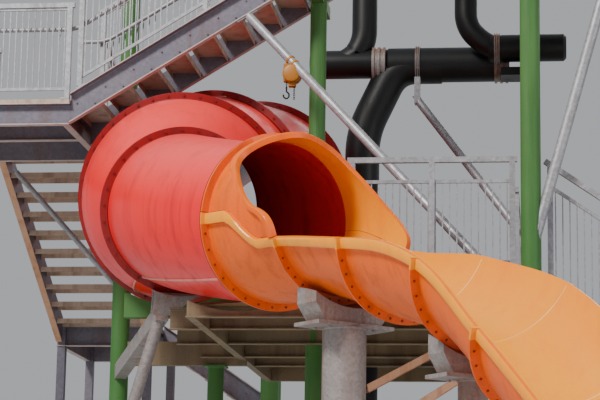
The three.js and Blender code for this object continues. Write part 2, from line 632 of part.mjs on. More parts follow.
piece("Left_guard",
  guard(...flightLine(V(-3064, LAND.y1, LAND_Z), V(0, 1, 0), 37, 10, 160, 291, 60, 60), 250), "steel");
piece("Top_guard", fence([V(TOP.x0 + 37, 2830, TOP_Z), V(TOP.x0 + 37, TOP.y0 + 37, TOP_Z),
  V(TOP.x1 - 37, TOP.y0 + 37, TOP_Z), V(TOP.x1 - 37, TOP.y1 - 37, TOP_Z), V(TOP.x0 + 37, TOP.y1 - 37, TOP_Z),
  V(TOP.x0 + 37, 4030, TOP_Z)], 400), "steel");
{
  const form = [12, 2150 / 12, 262];
  const [a, b] = flightLine(V(DECK.x1, 1360, DECK_Z), V(1, 0, 0), 37, ...form, 60, 2);
  piece("Right_guard", join(guard(a, b, 300), fence([V(SIDE.x0 + 1, SIDE.y0 + 37, SIDE_Z),
    V(SIDE.x1 - 37, SIDE.y0 + 37, SIDE_Z), V(SIDE.x1 - 37, SIDE.y1 - 37, SIDE_Z)], 300)), "steel");
}

// A brace from the upper flight's front stringer down to the middle deck beside column D.
{
  const [x0, y0] = [-1284, 2942];
  const a = V(x0, y0, underUpper(x0) - 10), b = V(1270, 1420, DECK_Z + 10);
  const tilt = Math.cos(Math.atan(2400 / 14 / 280));
  const seat = (x, h) => V(x, y0, underUpper(x) + h / tilt - GAP);
  const brace = join(rod(a, b, 44, 14), beam(seat(x0 - 110, -7), seat(x0 + 90, -7), 60, 14),
    box(b.x - 90, b.x + 90, b.y - 70, b.y + 70, DECK_Z + GAP, DECK_Z + 16));
  piece("Brace", cut(brace, beam(seat(x0 - 500, 100), seat(x0 + 500, 100), 400, 200),
    box(b.x - 300, b.x + 300, b.y - 300, b.y + 300, DECK_Z - 300, DECK_Z + GAP)), "steel");
}

// The water main behind the tower: a supply pipe up from the ground, a header and two risers.
{
  const { x, y, z, r } = MAIN;
  const parts = [rod(V(-30, y, z), V(1250, y, z), r, 20), rod(V(-970, y, z + 20), V(0, y, z + 20), 160, 18)];
  parts.push(rod(V(x, y, 0), V(x, y, 6700), r, 20), rod(V(x, y, 6640), V(-40, y, z), r, 20));
  parts.push(rod(V(x, y, 0), V(x, y, 34), r + 90, 20), rod(V(-365, y, z), V(-365, y, 8280), 142, 18));
  const front = y - 320;
  parts.push(rod(V(780, front, 8280), V(780, front, 7840), 125, 16));
  parts.push(rod(V(780, front, 7860), V(1040, front, 7570), 125, 16));
  parts.push(rod(V(1000, front, 7560), V(1872, front, 7560), 150, 18));
  parts.push(box(1430, 1550, 4600 + COLUMN_R + GAP, y - 60, z - r - 30, z - r + 60));
  parts.push(box(1160, 1550, front - 60, y - 60, z - r - 30, z - r + 60));
  piece("Water_header", join(...parts), "black");
}

export default root;
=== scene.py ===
# %% [markdown]
# # A water slide tower, dressed
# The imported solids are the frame: they hold every size. This lesson puts smooth skins, bolts, fine
# balusters and weathered finishes over them. Everything is in metres, with Z up and the ground at
# zero, because that is the frame the solids come in.

# %% Load the frame
import math

import bmesh
import bpy
import numpy as np
from mathutils import Matrix, Vector


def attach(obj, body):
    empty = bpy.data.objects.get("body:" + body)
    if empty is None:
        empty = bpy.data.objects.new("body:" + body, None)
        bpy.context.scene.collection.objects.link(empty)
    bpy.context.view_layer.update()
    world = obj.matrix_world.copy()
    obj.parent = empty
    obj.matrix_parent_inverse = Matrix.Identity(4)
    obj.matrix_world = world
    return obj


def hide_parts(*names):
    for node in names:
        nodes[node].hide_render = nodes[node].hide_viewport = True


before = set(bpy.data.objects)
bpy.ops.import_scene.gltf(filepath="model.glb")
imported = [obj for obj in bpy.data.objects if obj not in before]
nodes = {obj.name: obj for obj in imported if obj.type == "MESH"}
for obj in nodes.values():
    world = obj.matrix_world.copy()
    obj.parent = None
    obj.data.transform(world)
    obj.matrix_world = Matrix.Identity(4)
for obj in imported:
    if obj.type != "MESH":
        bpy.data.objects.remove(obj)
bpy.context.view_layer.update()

print("solids:", len(nodes))

# %% [markdown]
# ## From arrays to a mesh
# Every new piece here is worked out as whole numpy arrays: a table of corners and a table of faces.
# Python loops over corners are slow in Blender, so one call hands the tables to the mesh. The
# object stays at the origin, unturned, so that patterns on Object coordinates are real metres.

# %% Mesh helpers
CREASE = math.radians(38)


def put(name, corners, faces, smooth=True, replaces=(), bevel=0.0):
    """A mesh from tables of corners and faces, riding on the tower; creases stay sharp."""
    tables = faces if isinstance(faces, list) else [faces]
    mesh = bpy.data.meshes.new(name)
    polygons = [row for table in tables for row in np.asarray(table).tolist()]
    mesh.from_pydata(np.asarray(corners, float).reshape(-1, 3).tolist(), [], polygons)
    mesh.polygons.foreach_set("use_smooth", np.full(len(polygons), smooth))
    mesh.validate()
    shell = bmesh.new()
    shell.from_mesh(mesh)
    bmesh.ops.recalc_face_normals(shell, faces=shell.faces)
    shell.to_mesh(mesh)
    shell.free()
    if smooth:
        mesh.set_sharp_from_angle(angle=CREASE)
    piece = bpy.data.objects.new(name, mesh)
    bpy.context.scene.collection.objects.link(piece)
    if bevel:
        edge = piece.modifiers.new("soft edges", "BEVEL")
        edge.width, edge.segments, edge.limit_method = bevel, 2, "ANGLE"
    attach(piece, "root")
    if replaces:
        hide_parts(*replaces)
    return piece


def grid_faces(rows, columns, close_rows=False, close_columns=False, start=0):
    """Quads between neighbouring points of a rows × columns grid, wrapped round where it closes."""
    r = np.arange(rows if close_rows else rows - 1)[:, None]
    c = np.arange(columns if close_columns else columns - 1)[None, :]
    r1, c1 = (r + 1) % rows, (c + 1) % columns
    around = r * columns + c, r1 * columns + c, r1 * columns + c1, r * columns + c1
    return np.stack(np.broadcast_arrays(*around), -1).reshape(-1, 4) + start


def closed_faces(rows, columns, flip=False):
    """A section of `columns` points carried over `rows` steps: its sides and its two ends."""
    sides = grid_faces(rows, columns, close_columns=True)
    first, last = np.arange(columns)[None], (rows - 1) * columns + np.arange(columns)[None]
    return [sides[:, ::-1], first, last[:, ::-1]] if flip else [sides, first[:, ::-1], last]


def paint(piece, materials, marks):
    """Gives every face the material its mark counts to."""
    piece.data.materials.clear()
    for material in materials:
        piece.data.materials.append(material)
    piece.data.polygons.foreach_set("material_index", np.concatenate(marks).astype(int))


def unit(v):
    """The same directions with length one."""
    v = np.asarray(v, float)
    return v / np.linalg.norm(v, axis=-1, keepdims=True)


def across(direction):
    """Two unit vectors square to each direction and to each other, the second pointing up."""
    d = unit(direction)
    up = np.where(np.abs(d[..., 2:3]) > 0.999, [0.0, 1.0, 0.0], [0.0, 0.0, 1.0])
    side = unit(np.cross(d, up))
    return side, np.cross(side, d)


def stamp(corners, faces, places, side, up, out):
    """One small shape set down many times: each corner is place + x·side + y·up + z·out."""
    corners, places = np.asarray(corners, float), np.atleast_2d(places)
    axes = [np.broadcast_to(np.atleast_2d(a), places.shape) for a in (side, up, out)]
    points = places[:, None] + sum(corners[None, :, k : k + 1] * axes[k][:, None] for k in range(3))
    shift = (np.arange(len(places)) * len(corners))[:, None, None]
    tables = [(np.asarray(table)[None] + shift).reshape(-1, np.shape(table)[1]) for table in faces]
    return points.reshape(-1, 3), tables


def merge(*parts):
    """Several (corners, faces) pairs as one pair, with the faces' numbers moved along."""
    corners, faces, start = [], [], 0
    for points, tables in parts:
        corners.append(np.asarray(points, float).reshape(-1, 3))
        tables = tables if isinstance(tables, list) else [tables]
        faces += [np.asarray(table) + start for table in tables]
        start += len(corners[-1])
    return np.vstack(corners), faces


# %% [markdown]
# ## Bars, pipes and boxes
# Steelwork is mostly straight. A pipe is a circle carried from one end to the other; a turned shape
# is a list of radii along a line, which also gives collars and plates. A box is eight corners.

# %% Straight members
def turned(a, b, profile, sides=32):
    """A filled solid of revolution: circles of radius r at distance d on the way from a to b."""
    a, b = np.asarray(a, float), np.asarray(b, float)
    out = unit(b - a)
    side, up = across(out)
    turn = np.linspace(0, 2 * np.pi, sides, endpoint=False)
    ring = np.cos(turn)[:, None] * side + np.sin(turn)[:, None] * up
    d, r = np.array(profile, float).T
    points = a + d[:, None, None] * out + r[:, None, None] * ring[None]
    return points.reshape(-1, 3), closed_faces(len(d), sides, flip=True)


def pipe(a, b, radius, sides=32, soft=0.004):
    """A plain bar of round section with its end edges eased."""
    length = float(np.linalg.norm(np.subtract(b, a)))
    ends = [(0, radius - soft), (soft, radius), (length - soft, radius), (length, radius - soft)]
    return turned(a, b, ends, sides)


BOX = np.array([[x, y, z] for x in (-0.5, 0.5) for y in (-0.5, 0.5) for z in (-0.5, 0.5)])
BOX_FACES = np.array([
    [0, 1, 3, 2], [4, 6, 7, 5], [0, 4, 5, 1], [2, 3, 7, 6], [0, 2, 6, 4], [1, 5, 7, 3]])
# The same six faces where the corners go round one side and then round the other.
BOX_SIDES = np.array([
    [0, 1, 2, 3], [7, 6, 5, 4], [0, 4, 5, 1], [1, 5, 6, 2], [2, 6, 7, 3], [3, 7, 4, 0]])


def block(low, high):
    """An upright box between two corners."""
    low, high = np.asarray(low, float), np.asarray(high, float)
    return (low + high) / 2 + BOX * (high - low), [BOX_FACES]


def bar(a, b, width, height):
    """A square-cut bar from a to b."""
    a, b = np.asarray(a, float), np.asarray(b, float)
    out = unit(b - a)
    side, up = across(out)
    size = [width, height, np.linalg.norm(b - a)]
    return stamp(BOX * size, [BOX_FACES], (a + b) / 2, side, up, out)


def hexagon(radius, height, washer):
    """A bolt head on its washer: six-sided rings going up from zero."""
    turn = np.arange(6) * np.pi / 3
    ring = np.stack([np.cos(turn), np.sin(turn), turn * 0], 1)
    levels = [(washer, 0), (washer, 0.003), (radius, 0.003), (radius, height * 0.8),
        (radius * 0.85, height)]
    points = np.vstack([ring * [r, r, 0] + [0, 0, z] for r, z in levels])
    top = (len(levels) - 1) * 6 + np.arange(6)[None]
    sides = grid_faces(len(levels), 6, close_columns=True)[:, ::-1]
    return points, [sides, top, np.arange(6)[None, ::-1]]


HEAD = hexagon(0.014, 0.013, 0.02)
print("a bolt head has", len(HEAD[0]), "corners")

# %% [markdown]
# ## The slide's centre line
# A fibreglass slide is laid out as a line of stations. A centripetal Catmull-Rom curve passes
# through them without loops, and it is the curve the solids follow, so the skins fit over them. The
# distance along the curve, not the curve's own parameter, says where each flange sits.

# %% Stations and frames along the slide
STATIONS = np.array([
    (-2.047, 10.900, 6.679, 0.685), (-1.671, 7.831, 6.277, 0.685), (-1.476, 6.243, 6.069, 0.685),
    (-1.441, 4.900, 5.850, 0.950), (-1.760, 3.960, 5.690, 0.990), (-1.941, 3.252, 5.474, 1.005),
    (-1.780, 2.360, 5.200, 0.720), (-0.644, 0.672, 4.764, 0.685), (0.000, 0.000, 4.722, 0.685),
    (0.640, -0.735, 4.440, 0.685), (1.289, -1.528, 4.087, 0.685), (1.777, -2.215, 3.493, 0.685),
    (2.615, -3.656, 2.360, 0.685), (3.260, -5.230, 1.640, 0.685), (3.660, -6.930, 1.240, 0.685),
    (3.870, -8.690, 1.130, 0.685), (3.980, -10.450, 1.110, 0.685)])
MOUTH, WALL, LIP, FLANGE, BORE, HAIR = 7, 0.012, 0.066, 0.014, 0.685, 0.0003
SPANS = len(STATIONS) - 1
posts_of_line = np.vstack([2 * STATIONS[0] - STATIONS[1], STATIONS,
    2 * STATIONS[-1] - STATIONS[-2]])[:, :3]


def line_at(t):
    """Centripetal Catmull-Rom: a cubic in each span, whose end slopes weigh the neighbours by the
    root of their distances.
    """
    t = np.clip(np.asarray(t, float), 0, 1) * SPANS
    i = np.minimum(t.astype(int), SPANS - 1)
    w = (t - i)[..., None]
    p0, p1, p2, p3 = (posts_of_line[i + k] for k in range(4))
    steps = (p1 - p0, p2 - p1, p3 - p2)
    d0, d1, d2 = (np.sqrt(np.linalg.norm(step, axis=-1, keepdims=True)) for step in steps)
    m1 = ((p1 - p0) / d0 - (p2 - p0) / (d0 + d1) + (p2 - p1) / d1) * d1
    m2 = ((p2 - p1) / d1 - (p3 - p1) / (d1 + d2) + (p3 - p2) / d2) * d1
    return p1 + m1 * w + (3 * (p2 - p1) - 2 * m1 - m2) * w**2 + (2 * (p1 - p2) + m1 + m2) * w**3


fine = np.linspace(0, 1, SPANS * 200 + 1)
travelled = np.concatenate([[0], np.cumsum(np.linalg.norm(np.diff(line_at(fine), axis=0), axis=1))])
S = travelled[::200]


def frame_at(s):
    """Centre, direction of travel, rider's left and rider's up at distance s."""
    t = np.interp(s, travelled, fine)
    go = unit(line_at(t + 1e-4) - line_at(t - 1e-4))
    left = unit(np.stack([-go[..., 1], go[..., 0], go[..., 0] * 0], -1))
    return line_at(t), go, left, np.cross(go, left)


def bore_at(s):
    """The bore's radius: an S-shaped blend (3k² − 2k³) from station to station."""
    s = np.asarray(s, float)
    i = np.clip(np.searchsorted(S, s, side="left") - 1, 0, SPANS - 1)
    k = np.clip((s - S[i]) / (S[i + 1] - S[i]), 0, 1)
    return STATIONS[i, 3] + (STATIONS[i + 1, 3] - STATIONS[i, 3]) * k * k * (3 - 2 * k)


def on_slide(s, degrees, radius):
    """Centre + radius·(cos·left + sin·up): 0° is the rider's left, 90° overhead, 180° right."""
    s, a, radius = np.broadcast_arrays(np.asarray(s, float), np.radians(degrees), radius)
    centre, _, left, up = frame_at(s)
    return centre + radius[..., None] * (np.cos(a)[..., None] * left + np.sin(a)[..., None] * up)


print("the slide is", round(float(S[-1]), 2), "m long; flanges at", np.round(S, 2).tolist())

# %% [markdown]
# ## Weathering and painted top light, as node groups
# Every finish outdoors shares the same weathering: rain streaks that run down, broad patches of
# fade and fine specks of dirt. A fourth mask marks the faces that look up; most finishes give these
# a lighter top colour, a painted top light, and on the pole it carries rust. Each effect is a node
# group that puts out plain masks, so every material can use it with its own strengths.

# %% Node group helpers
def new_group(name, inputs, outputs):
    """An empty shader node group with named number inputs and named outputs."""
    tree = bpy.data.node_groups.new(name, "ShaderNodeTree")
    for label, value in inputs.items():
        socket = tree.interface.new_socket(label, in_out="INPUT", socket_type="NodeSocketFloat")
        socket.default_value = value
    for label, kind in outputs.items():
        tree.interface.new_socket(label, in_out="OUTPUT", socket_type=kind)
    return tree, tree.nodes.new("NodeGroupInput"), tree.nodes.new("NodeGroupOutput")


def add(tree, kind, values=None, **settings):
    """A node with its settings, and values or links for inputs given by name or number."""
    node = tree.nodes.new(kind)
    for key, value in settings.items():
        setattr(node, key, value)
    for key, value in (values or {}).items():
        if isinstance(value, bpy.types.NodeSocket):
            tree.links.new(value, node.inputs[key])
        else:
            node.inputs[key].default_value = value
    return node


def math_node(tree, operation, a, b=0.5, clamp=False):
    """The result of one sum on two numbers or sockets."""
    return add(tree, "ShaderNodeMath", {0: a, 1: b}, operation=operation,
        use_clamp=clamp).outputs[0]


def ramp(tree, value, low, high, low_out=0.0, high_out=1.0):
    """A straight ramp between two levels, held flat outside them."""
    return add(tree, "ShaderNodeMapRange", {0: value, 1: low, 2: high, 3: low_out, 4: high_out},
        clamp=True).outputs[0]


def mix_colour(tree, mask, a, b, blend="MIX"):
    """Colour a where the mask is 0, b where it is 1."""
    return add(tree, "ShaderNodeMix", {0: mask, 6: a, 7: b}, data_type="RGBA",
        blend_type=blend).outputs[2]


def place(tree, scale=(1, 1, 1), turn=(0, 0, 0)):
    """Object coordinates in metres, stretched or turned."""
    coordinates = tree.nodes.new("ShaderNodeTexCoord").outputs["Object"]
    return add(tree, "ShaderNodeMapping", {0: coordinates, "Scale": scale,
        "Rotation": turn}).outputs[0]


def noise(tree, where, scale, detail, rough):
    """A cloudy value between 0 and 1, with `scale` blobs to the metre."""
    return add(tree, "ShaderNodeTexNoise", {"Vector": where, "Scale": scale, "Detail": detail,
        "Roughness": rough}).outputs[0]


# %% Weathering and top light group
tree, given, out = new_group("weather_and_top_light",
    {"Streak width": 7.0, "Patch size": 1.1, "Speck size": 70.0},
    dict.fromkeys(("Streaks", "Patches", "Specks", "Top"), "NodeSocketFloat"))
tall = place(tree, (1, 1, 0.07))
runs = noise(tree, tall, given.outputs["Streak width"], 5.0, 0.6)
tree.links.new(ramp(tree, runs, 0.5, 0.72), out.inputs["Streaks"])
patches = noise(tree, place(tree), given.outputs["Patch size"], 3.0, 0.5)
tree.links.new(ramp(tree, patches, 0.35, 0.68), out.inputs["Patches"])
specks = noise(tree, place(tree), given.outputs["Speck size"], 3.0, 0.7)
tree.links.new(ramp(tree, specks, 0.56, 0.72), out.inputs["Specks"])
# Top: faces that look up, which the finishes mostly lighten as a painted top light.
facing = add(tree, "ShaderNodeSeparateXYZ",
    {0: tree.nodes.new("ShaderNodeNewGeometry").outputs["Normal"]}).outputs[2]
tree.links.new(ramp(tree, facing, 0.1, 0.95), out.inputs["Top"])
weather_and_top_light = tree

# %% [markdown]
# ## Zinc, as a node group
# Hot-dip galvanising freezes into flat crystals a few centimetres across, each a slightly different
# grey. A Voronoi texture gives each crystal its own random value; distorting the coordinates a
# little keeps the cells from looking like tiles.

# %% Galvanised zinc group
tree, given, out = new_group("zinc crystals", {"Crystals": 38.0},
    {"Grey": "NodeSocketFloat", "Relief": "NodeSocketFloat"})
spot = place(tree)
wobble = add(tree, "ShaderNodeTexNoise", {"Vector": spot, "Scale": 25.0}).outputs[1]
bent = add(tree, "ShaderNodeVectorMath", {0: wobble, "Scale": 0.02}, operation="SCALE").outputs[0]
moved = add(tree, "ShaderNodeVectorMath", {0: spot, 1: bent}, operation="ADD").outputs[0]
cells = add(tree, "ShaderNodeTexVoronoi", {"Vector": moved, "Scale": given.outputs["Crystals"]})
shade = add(tree, "ShaderNodeSeparateXYZ", {0: cells.outputs["Color"]}).outputs[0]
tree.links.new(shade, out.inputs["Grey"])
tree.links.new(noise(tree, spot, 160.0, 3.0, 0.6), out.inputs["Relief"])
zinc = tree

# %% Grip group
# Raised bars on floor plate: one lens shape per square cell, lying along X and along Y by turns.
tree, given, out = new_group("grip", {"Pitch": 0.03}, {"Height": "NodeSocketFloat"})
ground = add(tree, "ShaderNodeSeparateXYZ", {0: add(tree, "ShaderNodeTexCoord").outputs["Object"]})
cells = [math_node(tree, "DIVIDE", ground.outputs[k], given.outputs["Pitch"]) for k in (0, 1)]
floors = [math_node(tree, "FLOOR", c) for c in cells]
odd = math_node(tree, "FLOORED_MODULO", math_node(tree, "ADD", *floors), 2.0)
x, y = [math_node(tree, "SUBTRACT", math_node(tree, "FRACT", c), 0.5) for c in cells]
swap = math_node(tree, "MULTIPLY", math_node(tree, "SUBTRACT", y, x), odd)
long_way, short_way = math_node(tree, "ADD", x, swap), math_node(tree, "SUBTRACT", y, swap)
shares = [math_node(tree, "DIVIDE", v, half) for v, half in ((long_way, 0.44), (short_way, 0.13))]
squares = [math_node(tree, "POWER", math_node(tree, "ABSOLUTE", v), 2.0) for v in shares]
bulge = math_node(tree, "ADD", *squares)
normal = add(tree, "ShaderNodeNewGeometry").outputs["True Normal"]
facing = add(tree, "ShaderNodeSeparateXYZ", {0: normal}).outputs[2]
bars = math_node(tree, "MULTIPLY", math_node(tree, "SUBTRACT", 1.0, bulge, True),
    ramp(tree, facing, 0.5, 0.8))
tree.links.new(bars, out.inputs["Height"])
grip = tree
print("groups:", [g.name for g in (weather_and_top_light, zinc, grip)])

# %% [markdown]
# ## Finishes
# A finish starts from one colour and lets the weathering masks darken, fade and dirty it; the top
# mask lightens its upward faces instead, a painted top light. The numbers that are the same all
# over, such as the coat of a gelcoat, are set straight on the shader.

# %% Finish builder
def rgb(red, green, blue):
    """A colour from 0–255 screen values, turned to linear light by the usual 2.2 power."""
    return (*[(v / 255) ** 2.2 for v in (red, green, blue)], 1.0)


ZINC_DARK, ZINC_LIGHT = rgb(96, 101, 106), rgb(206, 209, 212)
TREAD_HEIGHT, COAT_ROUGHNESS = 0.004, 0.12


def finish(name, colours, rough, metal=0.0, coat=0.0, strengths=(0.4, 0.4, 0.3, 0.3), bump=0.002,
        fine=90.0, zinc_share=0.0, sizes=(7.0, 1.1, 70.0), shine=0.5, tread=0.0):
    """The base colour, mixed by mask × strength towards streak, patch, top and speck colours."""
    base, streak, patch, top, speck = [rgb(*numbers) for numbers in colours]
    material = bpy.data.materials.new(name)
    material.use_nodes = True
    tree = material.node_tree
    shader = tree.nodes["Principled BSDF"]
    masks = add(tree, "ShaderNodeGroup", node_tree=weather_and_top_light)
    for label, value in zip(("Streak width", "Patch size", "Speck size"), sizes):
        masks.inputs[label].default_value = value

    def mixed_towards(colour, mask, strength, second_colour):
        """The colour mixed towards a second colour where a mask is high; the top mask is painted top
        light.
        """
        amount = math_node(tree, "MULTIPLY", masks.outputs[mask], strength)
        return mix_colour(tree, amount, colour, second_colour)

    colour = mixed_towards(base, "Patches", strengths[1], patch)
    height = noise(tree, place(tree), fine, 3.0, 0.5)
    if zinc_share:
        crystals = add(tree, "ShaderNodeGroup", node_tree=zinc)
        bright = mix_colour(tree, crystals.outputs["Grey"], ZINC_DARK, ZINC_LIGHT)
        colour = mix_colour(tree, zinc_share, colour, bright, "OVERLAY")
        height = crystals.outputs["Relief"]
    if tread:
        raised = add(tree, "ShaderNodeGroup", {"Pitch": tread}, node_tree=grip)
        height = math_node(tree, "ADD", math_node(tree, "MULTIPLY", height, 0.4),
            raised.outputs["Height"])
        bump = TREAD_HEIGHT
    colour = mixed_towards(colour, "Streaks", strengths[0], streak)
    # Upward faces take the top colour: in most finishes a lighter one, a painted top light.
    colour = mixed_towards(colour, "Top", strengths[2], top)
    colour = mixed_towards(colour, "Specks", strengths[3], speck)
    tree.links.new(colour, shader.inputs["Base Color"])
    dull = math_node(tree, "ADD", math_node(tree, "MULTIPLY", masks.outputs["Streaks"], 0.5),
        math_node(tree, "MULTIPLY", masks.outputs["Patches"], 0.5))
    tree.links.new(ramp(tree, dull, 0.0, 1.0, *rough), shader.inputs["Roughness"])
    relief = add(tree, "ShaderNodeBump", {"Strength": 0.5, "Distance": bump, "Height": height})
    tree.links.new(relief.outputs[0], shader.inputs["Normal"])
    shader.inputs["Metallic"].default_value = metal
    shader.inputs["Coat Weight"].default_value = coat
    shader.inputs["Specular IOR Level"].default_value = shine
    shader.inputs["Coat Roughness"].default_value = COAT_ROUGHNESS
    return material


def wear(material, *things):
    """Gives a finish to pieces or to solids of the frame, and drops what they had."""
    for thing in things:
        mesh = (nodes[thing] if isinstance(thing, str) else thing).data
        mesh.materials.clear()
        mesh.materials.append(material)


# %% Gelcoat, paint, zinc and plastic
GEL = dict(coat=0.12, shine=0.3)
# The red's pale pink top colour, strong on upward faces, is a painted sunlit highlight.
red = finish("red gelcoat",
    [(238, 18, 28), (150, 8, 16), (248, 40, 42), (255, 92, 88), (150, 30, 30)],
    (0.3, 0.5), strengths=(0.4, 0.5, 0.7, 0.15), bump=0.0015, fine=14.0, **GEL)
# Darker red of the flanges, also laid on the outer wall beside each flange as painted joint shade.
red_flange_and_joint_shade = finish("red flange gelcoat and joint shade",
    [(138, 0, 12), (76, 2, 8), (152, 4, 16), (168, 8, 22), (70, 8, 12)],
    (0.34, 0.55), strengths=(0.5, 0.3, 0.25, 0.35), bump=0.001, **GEL)
red_inside = finish("red gelcoat inside",
    [(196, 6, 10), (110, 4, 8), (206, 14, 14), (150, 10, 12), (80, 6, 8)],
    (0.36, 0.55), strengths=(0.5, 0.4, 0.1, 0.2), bump=0.001, **GEL)
orange = finish("orange gelcoat",
    [(255, 152, 0), (242, 112, 0), (255, 172, 10), (255, 180, 24), (212, 92, 6)],
    (0.24, 0.42), strengths=(0.35, 0.45, 0.3, 0.1), bump=0.001, fine=9.0, coat=0.2, shine=0.4)
orange_outside = finish("orange gelcoat outside",
    [(238, 96, 0), (150, 54, 2), (246, 110, 2), (255, 136, 12), (130, 48, 8)],
    (0.34, 0.6), strengths=(0.4, 0.45, 0.5, 0.3), bump=0.0015, fine=30.0, coat=0.08, shine=0.3)
green = finish("weathered green paint",
    [(62, 108, 54), (44, 74, 40), (84, 128, 70), (96, 138, 84), (84, 70, 46)],
    (0.5, 0.7), strengths=(0.5, 0.6, 0.2, 0.35), bump=0.0008, shine=0.3)
zinc_steel = finish("galvanised steel",
    [(158, 158, 164), (98, 82, 74), (170, 168, 170), (186, 184, 184), (112, 80, 60)],
    (0.46, 0.66), metal=0.45, strengths=(0.4, 0.45, 0.2, 0.3), zinc_share=0.3, bump=0.0006)
pole_zinc = finish("rust-stained galvanised pole",
    [(142, 136, 134), (126, 78, 52), (166, 158, 154), (150, 104, 78), (122, 68, 42)],
    (0.5, 0.7), metal=0.35, strengths=(0.75, 0.5, 0.7, 0.5), zinc_share=0.25, bump=0.0006,
    sizes=(5.0, 1.4, 60.0))
# For channel webs and the recess between their flanges: weathered steel deepened as painted recess
# shade.
rolled_with_recess_shade = finish("weathered rolled channel, painted recess shade",
    [(104, 101, 114), (104, 74, 60), (124, 116, 124), (158, 138, 134), (104, 66, 50)],
    (0.52, 0.72), metal=0.25, strengths=(0.5, 0.55, 0.5, 0.4), zinc_share=0.2, bump=0.0008,
    sizes=(5.0, 1.6, 50.0))
# Lighter finish for the channels' top, bottom and toe faces: a painted highlight on the lips.
painted_lip_highlight = finish("channel lips, painted highlight",
    [(176, 160, 156), (138, 96, 76), (194, 176, 168), (206, 194, 186), (120, 76, 56)],
    (0.5, 0.7), metal=0.2, strengths=(0.5, 0.5, 0.3, 0.45), bump=0.0006)
tread_steel = finish("tread tray",
    [(178, 154, 138), (116, 80, 60), (202, 180, 162), (190, 176, 162), (104, 68, 48)],
    (0.5, 0.72), metal=0.1, strengths=(0.6, 0.65, 0.2, 0.5), bump=0.0008, sizes=(8.0, 3.0, 60.0),
    tread=0.028)
tan_steel = finish("rust-washed steel",
    [(192, 140, 106), (150, 84, 52), (212, 172, 142), (220, 188, 162), (124, 66, 38)],
    (0.5, 0.7), metal=0.15, strengths=(0.55, 0.55, 0.3, 0.45), bump=0.0008)
olive_steel = finish("stained olive joist",
    [(112, 98, 76), (78, 56, 38), (142, 122, 92), (150, 134, 108), (64, 44, 28)],
    (0.55, 0.75), metal=0.1, strengths=(0.55, 0.6, 0.3, 0.45), bump=0.0008, sizes=(6.0, 1.8, 60.0))
plate = finish("worn floor plate",
    [(124, 92, 62), (74, 48, 28), (150, 112, 76), (146, 132, 116), (70, 46, 28)],
    (0.6, 0.82), metal=0.05, strengths=(0.5, 0.6, 0.3, 0.4), bump=0.001, sizes=(9.0, 2.0, 60.0),
    tread=0.036)
black = finish("black polythene pipe",
    [(16, 17, 19), (36, 36, 38), (26, 27, 30), (52, 54, 58), (70, 68, 64)],
    (0.42, 0.62), strengths=(0.35, 0.4, 0.3, 0.2), bump=0.0008, shine=0.35)
yellow = finish("hoist yellow",
    [(158, 98, 4), (84, 52, 10), (180, 120, 14), (190, 130, 30), (60, 44, 22)],
    (0.42, 0.62), strengths=(0.5, 0.4, 0.2, 0.5), bump=0.0006)
print("finishes:", len(bpy.data.materials))

# %% [markdown]
# ## The closed tube
# Each length is laid up on a mould and has an outward flange at both ends, so two lengths bolt
# together back to back. A profile of wall and flanges, drawn in distance along the slide and height
# above the bore, is carried round the centre line. The profile is a closed loop, so the wall has
# its real thickness and the skin is watertight.

# %% Tube lengths
AROUND = 112


def ring_profile(s0, s1, steps):
    """A closed loop of (distance, height): bore side out, flange, outer wall back, flange."""
    eased = np.array([(0.0, LIP - 0.003), (0.001, LIP - 0.0008), (0.003, LIP)])
    inside = [(s, 0.0) for s in np.linspace(s0, s1, steps + 1)]
    last = [(s1 - d, WALL + h) for d, h in eased]
    last += [(s1 - FLANGE + d, WALL + h) for d, h in eased[::-1]]
    last += [(s1 - FLANGE, WALL + 0.010), (s1 - FLANGE - 0.003, WALL + 0.003),
        (s1 - FLANGE - 0.010, WALL)]
    first = [(s0 + s1 - s, h) for s, h in last[::-1]]
    between = np.linspace(s1 - FLANGE - 0.06, s0 + FLANGE + 0.06, steps)
    wall = [(s, WALL) for s in (s1 - FLANGE - 0.032, *between, s0 + FLANGE + 0.032)]
    return np.array(inside + last + wall + first)


def carry_round(profile):
    """The profile's every point at every angle: a grid closed both ways."""
    turn = np.linspace(0, 360, AROUND, endpoint=False)[:, None]
    s, height = profile[None, :, 0], profile[None, :, 1]
    return on_slide(s, turn, bore_at(s) + height), grid_faces(AROUND, len(profile), True, True)


def paint_by_height(piece, profile, groups):
    """Gives each quad the finish of its strip of the profile."""
    strips = np.zeros(len(profile), int)
    for k, (_, wanted) in enumerate(groups):
        strips[wanted] = k
    paint(piece, [material for material, _ in groups], [np.tile(strips, AROUND)])


TUBES = ["Tube_straight_1", "Tube_straight_2", "Tube_flare", "Tube_wide_1", "Tube_wide_2",
    "Tube_reducer_1", "Tube_reducer_2"]
for i, name in enumerate(TUBES):
    profile = ring_profile(S[i] + HAIR / 2, S[i + 1] - HAIR / 2, 14)
    piece = put(name.replace("Tube", "Skin"), *carry_round(profile), replaces=[name])
    following = np.roll(profile[:, 1], -1)
    inner = (profile[:, 1] < 0.001) & (following < 0.001)
    # Outer wall within 34 mm of a flange takes the darker flange red: painted shade where wall meets
    # flange.
    near_joint = np.minimum(profile[:, 0] - S[i], S[i + 1] - profile[:, 0]) < FLANGE + 0.034
    raised = np.maximum(profile[:, 1], following) > WALL + 0.001
    edge = (raised | (near_joint & np.roll(near_joint, -1))) & ~inner
    paint_by_height(piece, profile, [(red, ~inner & ~edge), (red_inside, inner), (red_flange_and_joint_shade, edge)])
    print(name, len(piece.data.polygons), "quads")

# %% Lengthwise seams
# Each length's shell is closed by one seam underneath: a low rib along the slide, sealed in a
# paler colour. Under the last length the rib climbs a little towards the mouth.
SEAM, SEAM_AT_MOUTH, SEAM_GAP = 242, 229, 0.02
RIB = np.array([(-0.012, -0.002), (-0.008, 0.012), (0.008, 0.012), (0.012, -0.002)])


